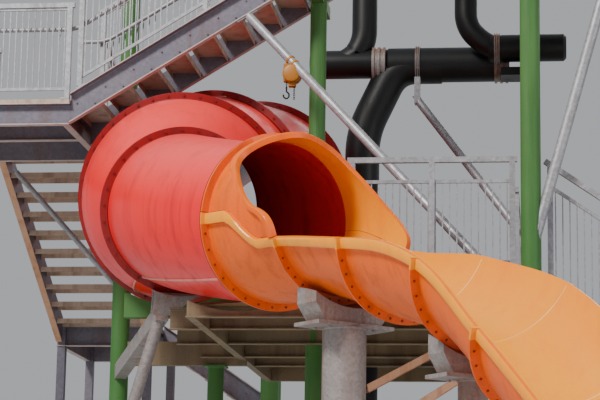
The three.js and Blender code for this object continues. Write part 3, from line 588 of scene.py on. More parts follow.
def rib(s0, s1, degrees0, degrees1, steps=30):
    """The rib's section at even steps along the shell, turning from one angle to the other."""
    k = np.linspace(0, 1, steps)[:, None]
    s = s0 + (s1 - s0) * k
    turn = degrees0 + (degrees1 - degrees0) * k + np.degrees(RIB[None, :, 0] / bore_at(s))
    points = on_slide(s, turn, bore_at(s) + WALL + RIB[None, :, 1])
    return points, closed_faces(steps, len(RIB))


pale_red = finish("sealed seam",
    [(226, 132, 120), (150, 50, 46), (236, 160, 148), (240, 176, 166), (120, 40, 40)],
    (0.4, 0.6), strengths=(0.4, 0.4, 0.2, 0.3), bump=0.0005)
ribs = [rib(S[i] + SEAM_GAP, S[i + 1] - SEAM_GAP, SEAM, SEAM if i < MOUTH - 1 else SEAM_AT_MOUTH)
    for i in range(MOUTH)]
wear(pale_red, put("Tube_seams", *merge(*ribs)))
print("seams:", len(ribs))

# %% [markdown]
# ## The open trough
# Every bay has rolled rims, which give a rider a smooth edge to hold and stiffen the shell, and end
# flanges below. The near rim dips after the mouth, so the section is drawn between two rim angles
# that change along the slide. Again a closed profile, this time carried along the line.

# %% Trough bays
RIM, RIM_OUT = 0.096, 0.046


def smooth_step(low, high, x):
    """0 below low, 1 above high, and the S-shape 3k² − 2k³ between."""
    k = np.clip((x - low) / (high - low), 0, 1)
    return k * k * (3 - 2 * k)


def rim_angles(s):
    """Angles of the near and far rims, in degrees."""
    d = np.asarray(s) - S[MOUTH]
    near = 24 * smooth_step(0.22, 0.60, d) - 17 * smooth_step(0.8, 2.6, d)
    far = 21 * smooth_step(0.15, 1.05, d) - 9 * smooth_step(1.15, 2.0, d)
    return 180 + near, 360 - far


def trough_section(arc=56):
    """A closed loop of (share of the way from near to far rim, height), starting inside."""
    band = RIM / (math.pi * BORE)
    inside = [(k, 0.0) for k in np.linspace(0, 1, arc + 1)]
    roll = [(1.0, RIM_OUT * 0.35), (1 - band * 0.06, RIM_OUT * 0.8), (1 - band * 0.22, RIM_OUT),
        (1 - band * 0.85, RIM_OUT), (1 - band * 0.97, RIM_OUT * 0.9), (1 - band, RIM_OUT * 0.7),
        (1 - band - 0.002, WALL + 0.004), (1 - band - 0.006, WALL)]
    outside = [(k, WALL) for k in np.linspace(1 - band * 1.35, band * 1.35, arc - 7)]
    return np.array(inside + roll + outside + [(1 - k, h) for k, h in roll[::-1]])


def bay(s0, s1, steps, section):
    """The section at every distance; both ends thicken outwards into flanges."""
    cuts = np.concatenate([[0, FLANGE - 0.002, FLANGE, FLANGE + 0.003],
        np.linspace(0.06, s1 - s0 - 0.06, steps),
        s1 - s0 - np.array([FLANGE + 0.003, FLANGE, FLANGE - 0.002, 0])])
    at_end = np.zeros(len(cuts), bool)
    at_end[[0, 1, -2, -1]] = True
    s = (s0 + cuts)[:, None]
    near, far = rim_angles(s)
    raised = (section[:, 1] > 0.001) & (np.arange(len(section)) > 0)
    height = np.where(at_end[:, None] & raised[None, :],
        np.maximum(section[:, 1], WALL + LIP)[None, :], section[:, 1][None, :])
    points = on_slide(s, near + (far - near) * section[:, 0][None, :], BORE + height)
    rows, columns = height.shape
    return points, closed_faces(rows, columns)


section = trough_section()
for i in range(9):
    k = MOUTH + i
    points, faces = bay(S[k] + HAIR / 2, S[k + 1] - HAIR / 2, 14 if i < 5 else 18, section)
    piece = put(f"Trough_skin_{i + 1}", points, faces, replaces=[f"Trough_{i + 1}"])
    following = np.roll(section[:, 1], -1)
    lower = np.minimum(section[:, 1], following)
    outer = (lower > 0.001) & (lower < RIM_OUT * 0.75)
    paint(piece, [orange, orange_outside], [np.tile(outer, len(points) - 1), [1, 1]])
print("trough section:", len(section), "points")

# %% [markdown]
# ## The hood over the mouth
# The last tube length opens into the trough under a hood: half a shell whose free edge is cut away
# in a long curve, so that its two horns run forward on the trough's rims. A table says how far
# forward the edge reaches at each angle. The edge is rolled outwards like the trough's rims.

# %% Hood
REACH = np.array([
    (-26, 0.950), (-9, 0.940), (0, 0.790), (8, 0.670), (20, 0.550), (33, 0.450), (46, 0.370),
    (62, 0.350), (78, 0.360), (95, 0.400), (112, 0.300), (125, 0.220), (138, 0.180), (150, 0.262),
    (160, 0.325), (168, 0.410), (177, 0.545), (185, 0.680), (192, 0.880), (210, 0.880)])
EDGE, EDGE_OUT = 0.104, 0.054


def hood_section(steps=10):
    """A closed loop of (part, position, height): 0 is flange, 1 is shell and 2 is rolled edge."""
    shares = np.linspace(0.04, 0.96, steps)
    inside = [(0, 0, 0)] + [(1, k, 0) for k in shares] + [(2, 0, 0)]
    roll = [(2, 0.0, EDGE_OUT * 0.5), (2, -0.006, EDGE_OUT * 0.9), (2, -0.016, EDGE_OUT),
        (2, -EDGE + 0.012, EDGE_OUT), (2, -EDGE + 0.003, EDGE_OUT * 0.9),
        (2, -EDGE, EDGE_OUT * 0.7), (2, -EDGE - 0.002, WALL)]
    flange = [(0, FLANGE + 0.001, WALL), (0, FLANGE, WALL + LIP - 0.003),
        (0, FLANGE - 0.003, WALL + LIP), (0, 0.002, WALL + LIP), (0, 0, WALL + LIP - 0.002)]
    return np.array(inside + roll + [(1, k, WALL) for k in shares[::-1]] + flange)


loop = hood_section()
share = np.linspace(0.002, 0.998, 180)[:, None]


def hood_angle(distance):
    """The rows of the hood, spread evenly between the two rims, which dip with the distance."""
    near, far = rim_angles(S[MOUTH] + distance)
    return (far - 360) + share * (near - far + 360)


reach = np.full_like(share, 0.4)
for _ in range(30):
    reach = 0.5 * reach + 0.5 * np.interp(hood_angle(reach), REACH[:, 0], REACH[:, 1])
for _ in range(2):
    wide = np.concatenate([np.full((5, 1), reach[0, 0]), reach, np.full((5, 1), reach[-1, 0])])
    reach = np.stack([wide[k : k + len(reach)] for k in range(11)]).mean(0)
part, position, height = loop.T
shell_start, shell_end = FLANGE + 0.001, reach - EDGE - 0.002
on_shell = shell_start + position * (shell_end - shell_start)
distance = np.where(part == 0, position, np.where(part == 2, reach + position, on_shell))
points = on_slide(S[MOUTH] + HAIR / 2 + distance, hood_angle(distance), BORE + height)
rows, columns = distance.shape
hood = put("Hood_skin", points, closed_faces(rows, columns, flip=True), replaces=["Exit_hood"])
inner = (height < 0.001) & (np.roll(height, -1) < 0.001)
paint(hood, [orange_outside, orange], [np.tile(inner, rows - 1), [0, 0]])
print("hood:", len(points), "points")

# %% [markdown]
# ## Bolts round the flanges
# Flanges are pulled together by bolts at an even pitch. One bolt head is made once and set down
# round each joint on both sides, with its top looking along the slide.

# %% Flange bolts
def bolt_ring(s, degrees, height, facing, scale=1.0):
    """Bolt heads at the given angles, `height` above the bore, on one face of a joint."""
    _, go, left, up = frame_at(np.full(len(degrees), s))
    a = np.radians(degrees)[:, None]
    outward = np.cos(a) * left + np.sin(a) * up
    places = on_slide(s, degrees, bore_at(s) + height)
    out, around = outward * facing, np.cross(go, outward)
    return stamp(HEAD[0] * scale, HEAD[1], places, out, around, go * facing)


red_bolt = finish("gelcoated bolt",
    [(132, 4, 14), (76, 4, 10), (144, 8, 18), (158, 16, 26), (60, 12, 14)],
    (0.4, 0.6), strengths=(0.4, 0.3, 0.3, 0.4), bump=0.0004)
rusty_bolt = finish("rusty bolt",
    [(128, 52, 18), (70, 30, 16), (128, 58, 28), (140, 70, 38), (54, 28, 18)],
    (0.6, 0.8), metal=0.2, strengths=(0.4, 0.4, 0.2, 0.4), bump=0.0006)
# Height of the bolt circle above the bore, pitch round a tube, and the trough's bolts: how many
# there are and how many degrees the first one lies below a rim.
BOLT_CIRCLE, BOLT_PITCH, TROUGH_BOLTS, BELOW_RIM = 0.046, 0.16, 15, 14
heads = []
for k in range(1, MOUTH):
    count = round(2 * math.pi * (bore_at(S[k]) + BOLT_CIRCLE) / BOLT_PITCH)
    turn = np.linspace(0, 360, count, endpoint=False)
    heads += [bolt_ring(S[k] + side * (FLANGE + HAIR), turn, BOLT_CIRCLE, side, 0.8)
        for side in (-1, 1)]
wear(red_bolt, put("Tube_bolts", *merge(*heads), smooth=False))
heads = []
for k in range(MOUTH, len(S) - 1):
    near, far = rim_angles(S[k])
    turn = np.linspace(near + BELOW_RIM, far - BELOW_RIM, TROUGH_BOLTS)
    heads += [bolt_ring(S[k] + side * (FLANGE + HAIR), turn, BOLT_CIRCLE, side, 0.55)
        for side in (-1, 1)]
wear(rusty_bolt, put("Trough_bolts", *merge(*heads), smooth=False))
print("bolt rings on the trough:", len(heads))

# %% [markdown]
# ## Joints seen from inside
# The lengths are bedded in a flexible seal, which shows inside as a thin pale line. Each line is a
# shallow ridge across the bore, drawn between the same rim angles as the trough.

# %% Seals
SEAL = np.array([(-0.007, 0.0005), (-0.003, -0.0015), (0.003, -0.0015), (0.007, 0.0005),
    (0.003, 0.002), (-0.003, 0.002)])


def seal(s, angles):
    """A ridge of six corners carried along the given angles at distance s."""
    points = on_slide(s + SEAL[None, :, 0], angles[:, None], bore_at(s) + SEAL[None, :, 1])
    return points, closed_faces(len(angles), len(SEAL))


seals = [seal(S[k], np.linspace(rim_angles(S[k])[0] + 2, rim_angles(S[k])[1] - 2, 48))
    for k in range(MOUTH + 1, len(S) - 1)]
sealant = finish("pale sealant",
    [(255, 186, 96), (222, 140, 60), (255, 200, 120), (255, 206, 140), (170, 104, 50)],
    (0.4, 0.6), strengths=(0.4, 0.4, 0.2, 0.3), bump=0.0005)
wear(sealant, put("Trough_seals", *merge(*seals)))
print("seals:", len(seals))

# %% [markdown]
# ## Columns and poles
# Rolled pipe is round, so each column gets a smooth skin over the faceted solid, with the weld
# bead at its foot and head and square plates with anchor bolts.

# %% Columns
FOOT_PLATE, HEAD_PLATE = 0.022, 0.016
FOUR = [(i, j) for i in (-1, 1) for j in (-1, 1)]  # the corners of a plate
# Each column: x, y, height, radius, and the widths of its foot and head plates.
COLUMNS = {
    "Column_A": (-2.829, 4.600, 8.200, 0.097, 0.36, 0.26),
    "Column_E": (1.490, 4.600, 8.5997, 0.097, 0.36, 0.26),
    "Column_F": (3.700, 1.250, 8.5997, 0.097, 0.36, 0.26),
    "Column_G": (3.700, 4.560, 8.5997, 0.097, 0.36, 0.26),
    "Column_U1": (-4.900, 3.050, 6.1897, 0.097, 0.36, 0.26),
    "Column_U2": (-4.900, 4.450, 6.1897, 0.097, 0.36, 0.26),
    "Column_D": (1.493, 1.250, 8.5997, 0.084, 0.32, 0.20),
    "Column_B": (-1.800, 4.600, 3.9847, 0.084, 0.32, 0.23)}

# The bracket that carries the left landing on column A, by two of its corners.
BRACKET = (-3.0587, 4.525, 6.192), (-2.829, 4.675, 6.408)


def column(x, y, top, radius, foot, head):
    """A pipe with weld beads, a foot plate with four anchor bolts and a head plate."""
    bead = [(0.010, radius), (0.0221, radius + 0.009), (0.024, radius + 0.008), (0.034, radius)]
    upper = [(top - 0.028, radius), (top - 0.018, radius + 0.008), (top - 0.010, radius)]
    shaft = turned((x, y, 0), (x, y, 1), bead + upper, 40)
    inset = foot * 0.38
    anchors = [(x + i * inset, y + j * inset, FOOT_PLATE) for i, j in FOUR]
    return [shaft, block((x - foot / 2, y - foot / 2, 0), (x + foot / 2, y + foot / 2, FOOT_PLATE)),
        block((x - head / 2, y - head / 2, top - HEAD_PLATE), (x + head / 2, y + head / 2, top)),
        stamp(*HEAD, anchors, [1, 0, 0], [0, 1, 0], [0, 0, 1])]


for name, measures in COLUMNS.items():
    parts = column(*measures)
    if name == "Column_A":
        parts.append(block(*BRACKET))
    wear(green, put(name.replace("Column", "Post"), *merge(*parts), replaces=[name]))
print("columns:", len(COLUMNS))

# %% [markdown]
# ## Guards
# A guard keeps a child from slipping through, so its upright bars are about 63 mm apart: far too
# many to pack as solids. The solids hold the guard's outline, and this piece stands in for it with
# every bar. One thin bar is stamped at an even pitch between a bottom and a middle rail.

# %% Guards with fine bars
BAR_PITCH, BAR = 0.063, 0.011
TOP_RAIL, RAIL_WIDTH, RAIL_DEPTH, BOTTOM_RAIL, POST = 0.048, 0.022, 0.030, 0.11, 0.025
FOOT_LONG, FOOT_WIDE, FOOT_THICK = 0.06, 0.07, 0.014
# How far the top rail runs past the end, and how far in the first post and the first bar stand.
PAST, END_POST, FIRST_BAR = 0.018, 0.026, 0.04


def guard(a, b, height=1.12, drop=0.0, spacing=1.25, gap=0.22):
    """Posts, three rails and bars from a to b, the middle rail `gap` below the top one.

    On a slope the rails follow it and the rest stays upright; `drop` is how far posts hang below.
    """
    a, b = np.asarray(a, float), np.asarray(b, float)
    run = float(np.hypot(*(b - a)[:2]))
    along = np.append((b - a)[:2] / run, 0)
    slope = (b[2] - a[2]) / run
    side = np.array([-along[1], along[0], 0])
    up = np.array([0, 0, 1.0])

    def at(x, h):
        """The point x along the run and h above the slope."""
        z = np.asarray(h) + slope * np.asarray(x)
        return a + np.multiply.outer(x, along) + np.multiply.outer(z, up)

    high = height - TOP_RAIL / 2
    parts = [bar(at(-PAST, high), at(run + PAST, high), TOP_RAIL, TOP_RAIL)]
    for level in (height - gap, BOTTOM_RAIL):
        parts.append(bar(at(0.02, level), at(run - 0.02, level), RAIL_WIDTH, RAIL_DEPTH))
    number = max(1, math.ceil((run - 0.06) / spacing))
    for x in END_POST + (run - 2 * END_POST) * np.arange(number + 1) / number:
        low = -drop if drop else 0.004 + abs(slope) * POST
        corners = [at(x, height - 0.03) + POST * (along + side), at(x, low) - POST * (along + side)]
        parts.append(block(*np.sort(corners, axis=0)))
        if not drop:
            x0, x1 = max(0, x - FOOT_LONG), min(run, x + FOOT_LONG)
            foot = FOOT_THICK / 2 / math.cos(math.atan(slope)) + HAIR
            parts.append(bar(at(x0, foot), at(x1, foot), FOOT_WIDE, FOOT_THICK))
            ends = [at(x, foot + FOOT_THICK / 2) for x in (x0 + 0.012, x1 - 0.012)]
            parts.append(stamp(HEAD[0] * 0.6, HEAD[1], ends, along, side, up))
    count = max(2, round((run - 2 * FIRST_BAR) / BAR_PITCH))
    x = FIRST_BAR + (run - 2 * FIRST_BAR) * (np.arange(count) + 0.5) / count
    thin = BOX * [BAR, BAR, height - gap - BOTTOM_RAIL]
    parts.append(stamp(thin, [BOX_FACES], at(x, (height - gap + BOTTOM_RAIL) / 2), along, side, up))
    return merge(*parts)


def fence(points, height=1.12, gap=0.22):
    """One guard after another along a row of corners."""
    return merge(*[guard(a, b, height, gap=gap) for a, b in zip(points[:-1], points[1:])])


STRINGER_DEPTH, STRINGER_DROP, TOE = 0.260, 0.092, 0.075


def stringer_line(top, along, offset, risers, rise, going, start=0.06, end=0.06):
    """The ends of a stringer's top edge, `offset` to the left of the flight's right corner."""
    top, along = np.asarray(top, float), np.asarray(along, float)
    left = np.cross([0, 0, 1], along)
    edge = STRINGER_DEPTH / 2 / math.cos(math.atan(rise / going)) - STRINGER_DROP
    return [top + along * d + left * offset + np.array([0, 0, edge - d * rise / going])
        for d in (start, risers * going - end)]


# Each flight: its top corner, direction down, width, number of risers, rise and going.
RISE_TO_TOP, RISE_RIGHT, RISE_LOWER = 2.400 / 14, 2.150 / 12, 2.425 / 13
FLIGHTS = {
    "Left_flight": ((-3.064, 4.600, 6.450), (0, 1, 0), 1.176, 10, 0.160, 0.291),
    "Upper_flight": ((0.861, 3.960, 8.850), (-1, 0, 0), 1.060, 14, RISE_TO_TOP, 0.280),
    "Right_flight_1": ((1.580, 1.360, 4.300), (1, 0, 0), 1.000, 12, RISE_RIGHT, 0.262),
    "Right_flight_2": ((4.724, 3.480, 2.150), (-1, 0, 0), 1.000, 12, RISE_RIGHT, 0.262),
    "Lower_flight_1": ((-3.060, 8.160, 4.850), (1, 0, 0), 1.000, 13, RISE_LOWER, 0.275),
    "Lower_flight_2": ((0.515, 10.160, 2.425), (-1, 0, 0), 1.000, 13, RISE_LOWER, 0.275)}


def beside(flight, offset, start=0.06, end=0.06):
    """The same line for a flight given by its name."""
    top, along, _, risers, rise, going = FLIGHTS[flight]
    return stringer_line(top, along, offset, risers, rise, going, start, end)


guards = {
    "Deck_guard": guard((-0.102, 1.309, 4.340), (1.362, 1.309, 4.340), 1.12, 0.24, 0.95),
    "Deck_guard_rear": fence([(1.357, 2.440, 4.3), (1.357, 6.562, 4.3), (-0.560, 6.562, 4.3)]),
    "Landing_guard": fence([(-3.069, 2.937, 6.45), (-5.163, 2.937, 6.45), (-5.163, 4.563, 6.45),
        (-4.260, 4.563, 6.45)], 1.0, 0.06),
    "Upper_guard_front": guard(*beside("Upper_flight", 1.023), gap=0.06),
    "Upper_guard_rear": guard(*beside("Upper_flight", 0.037), gap=0.06),
    "Left_guard": guard(*beside("Left_flight", 0.037)),
    "Top_guard": fence([(0.898, 2.830, 8.85), (0.898, 1.187, 8.85), (3.863, 1.187, 8.85),
        (3.863, 4.663, 8.85), (0.898, 4.663, 8.85), (0.898, 4.030, 8.85)]),
    "Right_guard": merge(guard(*beside("Right_flight_1", 0.037, 0.06, 0.002)),
        fence([(4.725, 1.392, 2.15), (5.867, 1.392, 2.15), (5.867, 3.453, 2.15)]))}
for name, shape in guards.items():
    wear(zinc_steel, put(name.replace("guard", "railing"), *shape, smooth=False, replaces=[name]))
print("guards:", {name: len(shape[0]) // 8 for name, shape in guards.items()})

# %% [markdown]
# ## Stair flights
# A flight is two channels with the treads bolted between them. Each tread is a tray of thin plate
# with its front and back edges turned down, which is why the underside shows a row of hollow boxes.
# The channel's section is carried down the slope; its ends are cut upright.

# %% Flights
def channel_section(depth, flange, web=0.009, lip=0.012):
    """A closed loop (outwards, up) of a channel with its toes outwards and eased corners."""
    d, r = depth / 2, 0.010
    half = np.array([(flange - 0.002, d), (flange, d - 0.002), (flange, d - lip * 0.7),
        (flange - 0.003, d - lip), (web + r, d - lip - 0.002), (web + r * 0.3, d - lip - r * 0.3),
        (web, d - lip - r)])
    return np.vstack([(0, -d), half * [1, -1], half[::-1], (0, d)])


RINGS = 40


def carry_down(section, start, along, outwards, length, slope, floor=-1.0, rings=RINGS):
    """The section at even steps down a slope, each in an upright plane, cut off at the floor."""
    d = np.linspace(HAIR, length - HAIR, rings)[:, None, None]
    out, up = section[None, :, :1], section[None, :, 1:] / math.cos(math.atan(slope))
    points = np.asarray(start) + d * along + out * outwards + (up - slope * d) * [0, 0, 1.0]
    points[..., 2] = np.maximum(points[..., 2], floor)
    return points.reshape(-1, 3), closed_faces(rings, len(section))


# The tray's section is drawn for a going of TRAY_GOING. TOES are the channel's outer sides, which
# take a lighter finish than the recess: a painted highlight on the lips.
TRAY_GOING = 0.28
TRAY = np.array([(0.152, 0), (-0.152, 0), (-0.152, -0.058), (-0.145, -0.058), (-0.145, -0.006),
    (0.145, -0.006), (0.145, -0.058), (0.152, -0.058)])
TOES = np.isin(np.arange(16), [0, 1, 2, 3, 11, 12, 13, 14])
# The gap from the flight's edge to a tray's end, how far a tray is set back, and its bolts' places.
TRAY_INSET, SET_BACK, BOLT_APART, BOLT_DOWN, BOLT_OUT = 0.071, 0.012, 0.09, 0.03, 0.013


def toe_marks(rings):
    """1 on the flanges' outer faces, 0 on the web, for a channel carried over `rings` steps."""
    return np.concatenate([np.tile(TOES, rings - 1), [0, 0]])


def flight(top, along, width, risers, rise, going, floor=-1.0):
    """Two stringers and a tray for each tread; the last tread is flush with the floor below."""
    top, along, up = np.asarray(top, float), np.asarray(along, float), np.array([0, 0, 1.0])
    left = np.cross(up, along)
    section = channel_section(STRINGER_DEPTH, TOE)
    slope, length = rise / going, risers * going
    parts = []
    for offset, outwards in ((TOE, -left), (width - TOE, left)):
        start = top + left * offset - up * STRINGER_DROP
        parts.append(carry_down(section, start, along, outwards, length, slope, floor, RINGS))
    number = risers if floor < 0 else risers - 1
    i = np.arange(1, number + 1)
    forward = np.multiply.outer((i - 0.5) * going - SET_BACK, along)
    centres = top + forward - np.multiply.outer(i * rise, up) + left * width / 2
    half = width / 2 - TRAY_INSET
    across_tray, down_tray = np.repeat(TRAY[:, 0], 2) * going / TRAY_GOING, np.repeat(TRAY[:, 1], 2)
    tray = np.stack([across_tray, np.tile([-half, half], len(TRAY)), down_tray], 1)
    n = np.arange(len(TRAY))
    m = (n + 1) % len(TRAY)
    sides = np.stack([2 * n, 2 * n + 1, 2 * m + 1, 2 * m], 1)
    parts.append(stamp(tray, [sides, 2 * n[None, ::-1], 2 * n[None] + 1], centres, along, left, up))
    marks = [toe_marks(RINGS), toe_marks(RINGS), np.full(number * (len(TRAY) + 2), 2)]
    for side in (-1, 1):
        for shift in (-BOLT_APART, BOLT_APART):
            places = centres + along * shift + left * side * (half + BOLT_OUT) - up * BOLT_DOWN
            parts.append(stamp(HEAD[0] * 0.5, HEAD[1], places, up, along, left * side))
            marks.append(np.zeros(number * sum(map(len, HEAD[1]))))
    return merge(*parts), marks


for name, measures in FLIGHTS.items():
    shape, marks = flight(*measures, floor=0.0 if name.endswith("_2") else -1.0)
    piece = put(name.replace("flight", "stair"), *shape, smooth=False, replaces=[name])
    # Lips in the lighter finish, web and recess in the darker one: painted highlight and painted
    # shade; the left flight's lips take the rust-washed tan.
    paint(piece, [rolled_with_recess_shade, tan_steel if name == "Left_flight" else painted_lip_highlight, tread_steel], marks)
print("flights:", len(FLIGHTS))

# %% [markdown]
# ## Landings
# A landing is a ring of channels with their toes outwards, joists between them and a ribbed plate
# on top. The same channel section serves: it is carried along level lines instead of down a slope.

# %% Landings
COVER, FLOOR_PLATE, LEG, LEG_FOOT, LEG_INSET = 0.040, 0.046, 0.048, 0.11, (0.062, 0.063)
SHORT, SEEN_EDGE = 0.07, 0.006  # how far cross channels and the plate stay back from an edge
# Each floor: two corners, top, depth of its channels, places of its joists, whether it has legs.
FLOORS = {
    "Left_landing": ((-5.200, 2.900), (-3.059, 4.600), 6.450, 0.220, [3.700], False),
    "Top_platform": ((0.861, 1.150), (3.900, 4.700), 8.850, 0.210, [2.300, 3.450], False),
    "Rear_landing": ((-4.240, 7.510), (-3.060, 9.170), 4.850, 0.250, [], True),
    "Right_landing": ((4.724, 1.355), (5.904, 3.490), 2.150, 0.220, [], True),
    "Lower_landing": ((0.515, 8.150), (1.700, 10.170), 2.425, 0.220, [], True)}


def level_channel(a, b, outwards, depth, toe=TOE):
    """A channel from a to b, both on the back of its web."""
    run = np.subtract(b, a)
    section, length = channel_section(depth, toe), float(np.linalg.norm(run))
    return carry_down(section, a, unit(run), np.asarray(outwards, float), length, 0.0, rings=3)


def landing(low, high, top, depth, joists, legs):
    """Four edge channels, joists, a plate and, where it needs them, four legs with foot plates."""
    (x0, y0), (x1, y1), z, t = low, high, top - COVER - depth / 2, TOE
    parts = [level_channel((x0, y0 + t, z), (x1, y0 + t, z), (0, -1, 0), depth),
        level_channel((x0, y1 - t, z), (x1, y1 - t, z), (0, 1, 0), depth),
        level_channel((x0 + t, y0 + SHORT, z), (x0 + t, y1 - SHORT, z), (-1, 0, 0), depth),
        level_channel((x1 - t, y0 + SHORT, z), (x1 - t, y1 - SHORT, z), (1, 0, 0), depth)]
    for y in joists:
        ends = (x0 + SHORT, y, z + 0.002), (x1 - SHORT, y, z + 0.002)
        parts.append(level_channel(*ends, (0, -1, 0), depth - 0.014, 0.07))
    marks = [toe_marks(3) for _ in parts] + [np.full(6, 2)]
    corner, opposite = np.add(low, SEEN_EDGE), np.subtract(high, SEEN_EDGE)
    parts.append(block((*corner, top - FLOOR_PLATE), (*opposite, top)))
    for x in (x0 + LEG_INSET[0], x1 - LEG_INSET[0]) if legs else ():
        for y in (y0 + LEG_INSET[1], y1 - LEG_INSET[1]):
            parts += [block((x - LEG, y - LEG, 0), (x + LEG, y + LEG, top - 0.02)),
                block((x - LEG_FOOT, y - LEG_FOOT, 0), (x + LEG_FOOT, y + LEG_FOOT, 0.016))]
            marks.append(np.zeros(12))
    return merge(*parts), marks


for name, measures in FLOORS.items():
    shape, marks = landing(*measures)
    piece = put(name + "_frame", *shape, smooth=False, replaces=[name])
    # As on the flights, lighter lips and a darker recess: painted highlight and painted shade.
    paint(piece, [rolled_with_recess_shade, painted_lip_highlight, tread_steel], marks)
print("landings:", len(FLOORS))

# %% [markdown]
# ## The water main
# The black pipes lift water from the ground to the slides. A bent pipe is a circle carried along a
# line whose corners are rounded off. Each ring is turned from the one before by the smallest turn
# that makes it square to the line, so the skin never twists. Clamped couplings join the lengths.

# %% Black pipes
def rounded_line(corners, radius, steps=10):
    """A line whose corners are cut off by quadratic curves that start and end `radius` away."""
    corners = np.asarray(corners, float)
    t = np.linspace(0, 1, steps)[:, None]
    line = [corners[:1]]
    for before, corner, after in zip(corners[:-2], corners[1:-1], corners[2:]):
        a, b = corner - radius * unit(corner - before), corner + radius * unit(after - corner)
        line.append((1 - t) ** 2 * a + 2 * t * (1 - t) * corner + t**2 * b)
    return np.vstack(line + [corners[-1:]])


def swept(line, radius, sides=40):
    """A round bar along a line: each ring is square to the mean of the directions beside it."""
    line = np.asarray(line, float)
    ahead = unit(np.diff(line, axis=0))
    go = unit(np.vstack([ahead[:1], ahead[:-1] + ahead[1:], ahead[-1:]]))
    side = np.empty_like(go)
    side[0] = across(go[0])[0]
    for k in range(1, len(go)):
        side[k] = unit(side[k - 1] - go[k] * (side[k - 1] @ go[k]))
    up = np.cross(side, go)
    turn = np.linspace(0, 2 * np.pi, sides, endpoint=False)[:, None, None]
    points = (line + radius * (np.cos(turn) * side + np.sin(turn) * up)).transpose(1, 0, 2)
    return points.reshape(-1, 3), closed_faces(len(line), sides, flip=True)


# The downcomer and one riser lie in the back plane, the other riser in the front one.
BACK, FRONT, HIGH, BRANCH, DOWN, RISER, RISER_TOP = 5.600, 5.280, 7.470, 7.560, -0.378, 0.780, 8.280
downcomer = [(DOWN, BACK, 0.030), (DOWN, BACK, 6.70), (-0.020, BACK, HIGH - 0.02),
    (0.500, BACK, HIGH - 0.02)]
back_riser = [(-0.365, BACK, RISER_TOP), (-0.365, BACK, 7.72), (-0.56, BACK, HIGH + 0.02),
    (-0.90, BACK, HIGH + 0.02)]
front_riser = [(RISER, FRONT, RISER_TOP), (RISER, FRONT, 7.800), (1.050, FRONT, BRANCH),
    (1.300, FRONT, BRANCH)]
foot_flange = [(0, 0.284), (0.028, 0.284), (0.034, 0.278), (0.0345, 0.19)]
main = [
    swept(rounded_line(downcomer, 0.24), 0.190, 64),
    pipe((-0.110, BACK, HIGH), (1.250, BACK, HIGH), 0.1945, 64, 0.02),
    pipe((-0.970, BACK, HIGH + 0.02), (-0.03, BACK, HIGH + 0.02), 0.160, 48, 0.03),
    swept(rounded_line(back_riser, 0.17), 0.142, 48),
    swept(rounded_line(front_riser, 0.17), 0.125, 48),
    pipe((1.020, FRONT, BRANCH), (1.872, FRONT, BRANCH), 0.150, 48, 0.03),
    block((1.430, 4.697, 7.246), (1.550, 5.540, 7.336)),
    block((1.160, 5.220, 7.246), (1.550, 5.540, 7.336)),
    turned((DOWN, BACK, 0), (DOWN, BACK, 1), foot_flange, 64)]
wear(black, put("Water_main", *merge(*main), replaces=["Water_header"]))
print("pipes of the water main:", len(main) - 3)

# %% Couplings
def coupling(middle, along, radius, half=0.075):
    """Three raised bands with thin strap between them, drawn as a turned profile round a joint."""
    thick, thin = 0.020, 0.004
    side = [(1, 0.001), (1, thick), (0.62, thick), (0.60, thin), (0.22, thin), (0.20, thick)]
    bands = [(-d, h) for d, h in side] + side[::-1]
    profile = [(half * d, radius + h) for d, h in bands]
    return turned(middle, np.add(middle, along), profile, 48)


joints = [((-0.195, BACK, HIGH), (1, 0, 0), 0.190), ((1.160, BACK, HIGH), (1, 0, 0), 0.194),
    ((DOWN, BACK, 3.20), (0, 0, 1), 0.190), ((1.120, FRONT, BRANCH), (1, 0, 0), 0.148, 0.03),
    ((0.237, BACK, HIGH), (1, 0, 0), 0.194, 0.025)]
wear(pole_zinc, put("Pipe_couplings", *merge(*[coupling(*joint) for joint in joints])))
print("couplings:", len(joints))

# %% [markdown]
# ## Handrails and stays
# Round rails run inside the guards at a hand's height and bend from the landing on to the flight.
# Thin pipes and angles stiffen the frame between columns, stringers and poles. They carry no
# weight that the solids don't already carry, so they are drawn here only.

# %% Handrails
RISE = RISE_TO_TOP / 0.280
RAIL, BRACKET_ROD, RAIL_END = 0.021, 0.007, 0.80
NEAR, NEAR_GUARD, NEAR_HIGH, NEAR_BEND = 2.990, 2.937, 7.19, -3.04
FAR, FAR_GUARD, FAR_HIGH, FAR_BEND = 3.870, 3.923, 7.31, -2.93


def handrail(start, bend, y, high):
    """Level from start to the bend, then up beside the flight to RAIL_END."""
    corners = [(start, y, high), (bend, y, high), (RAIL_END, y, high + (RAIL_END - bend) * RISE)]
    return swept(rounded_line(corners, 0.10), RAIL, 20)


def bracket(x, guard_y, y, z):
    """A bent rod from the guard to the underside of the rail."""
    corners = [(x, guard_y, z - 0.07), (x, y, z - 0.07), (x, y, z - 0.004)]
    return swept(rounded_line(corners, 0.03, 5), BRACKET_ROD, 10)


rails = [handrail(-5.05, NEAR_BEND, NEAR, NEAR_HIGH), handrail(-3.20, FAR_BEND, FAR, FAR_HIGH)]
for x in np.arange(-2.6, 0.7, 0.95):
    rails.append(bracket(x, NEAR_GUARD, NEAR, NEAR_HIGH + (x - NEAR_BEND) * RISE))
    rails.append(bracket(x, FAR_GUARD, FAR, FAR_HIGH + (x - FAR_BEND) * RISE))
rails += [bracket(x, NEAR_GUARD, NEAR, NEAR_HIGH) for x in (-4.8, -3.9, -3.2)]
wear(zinc_steel, put("Handrails", *merge(*rails)))
print("handrails and brackets:", len(rails))

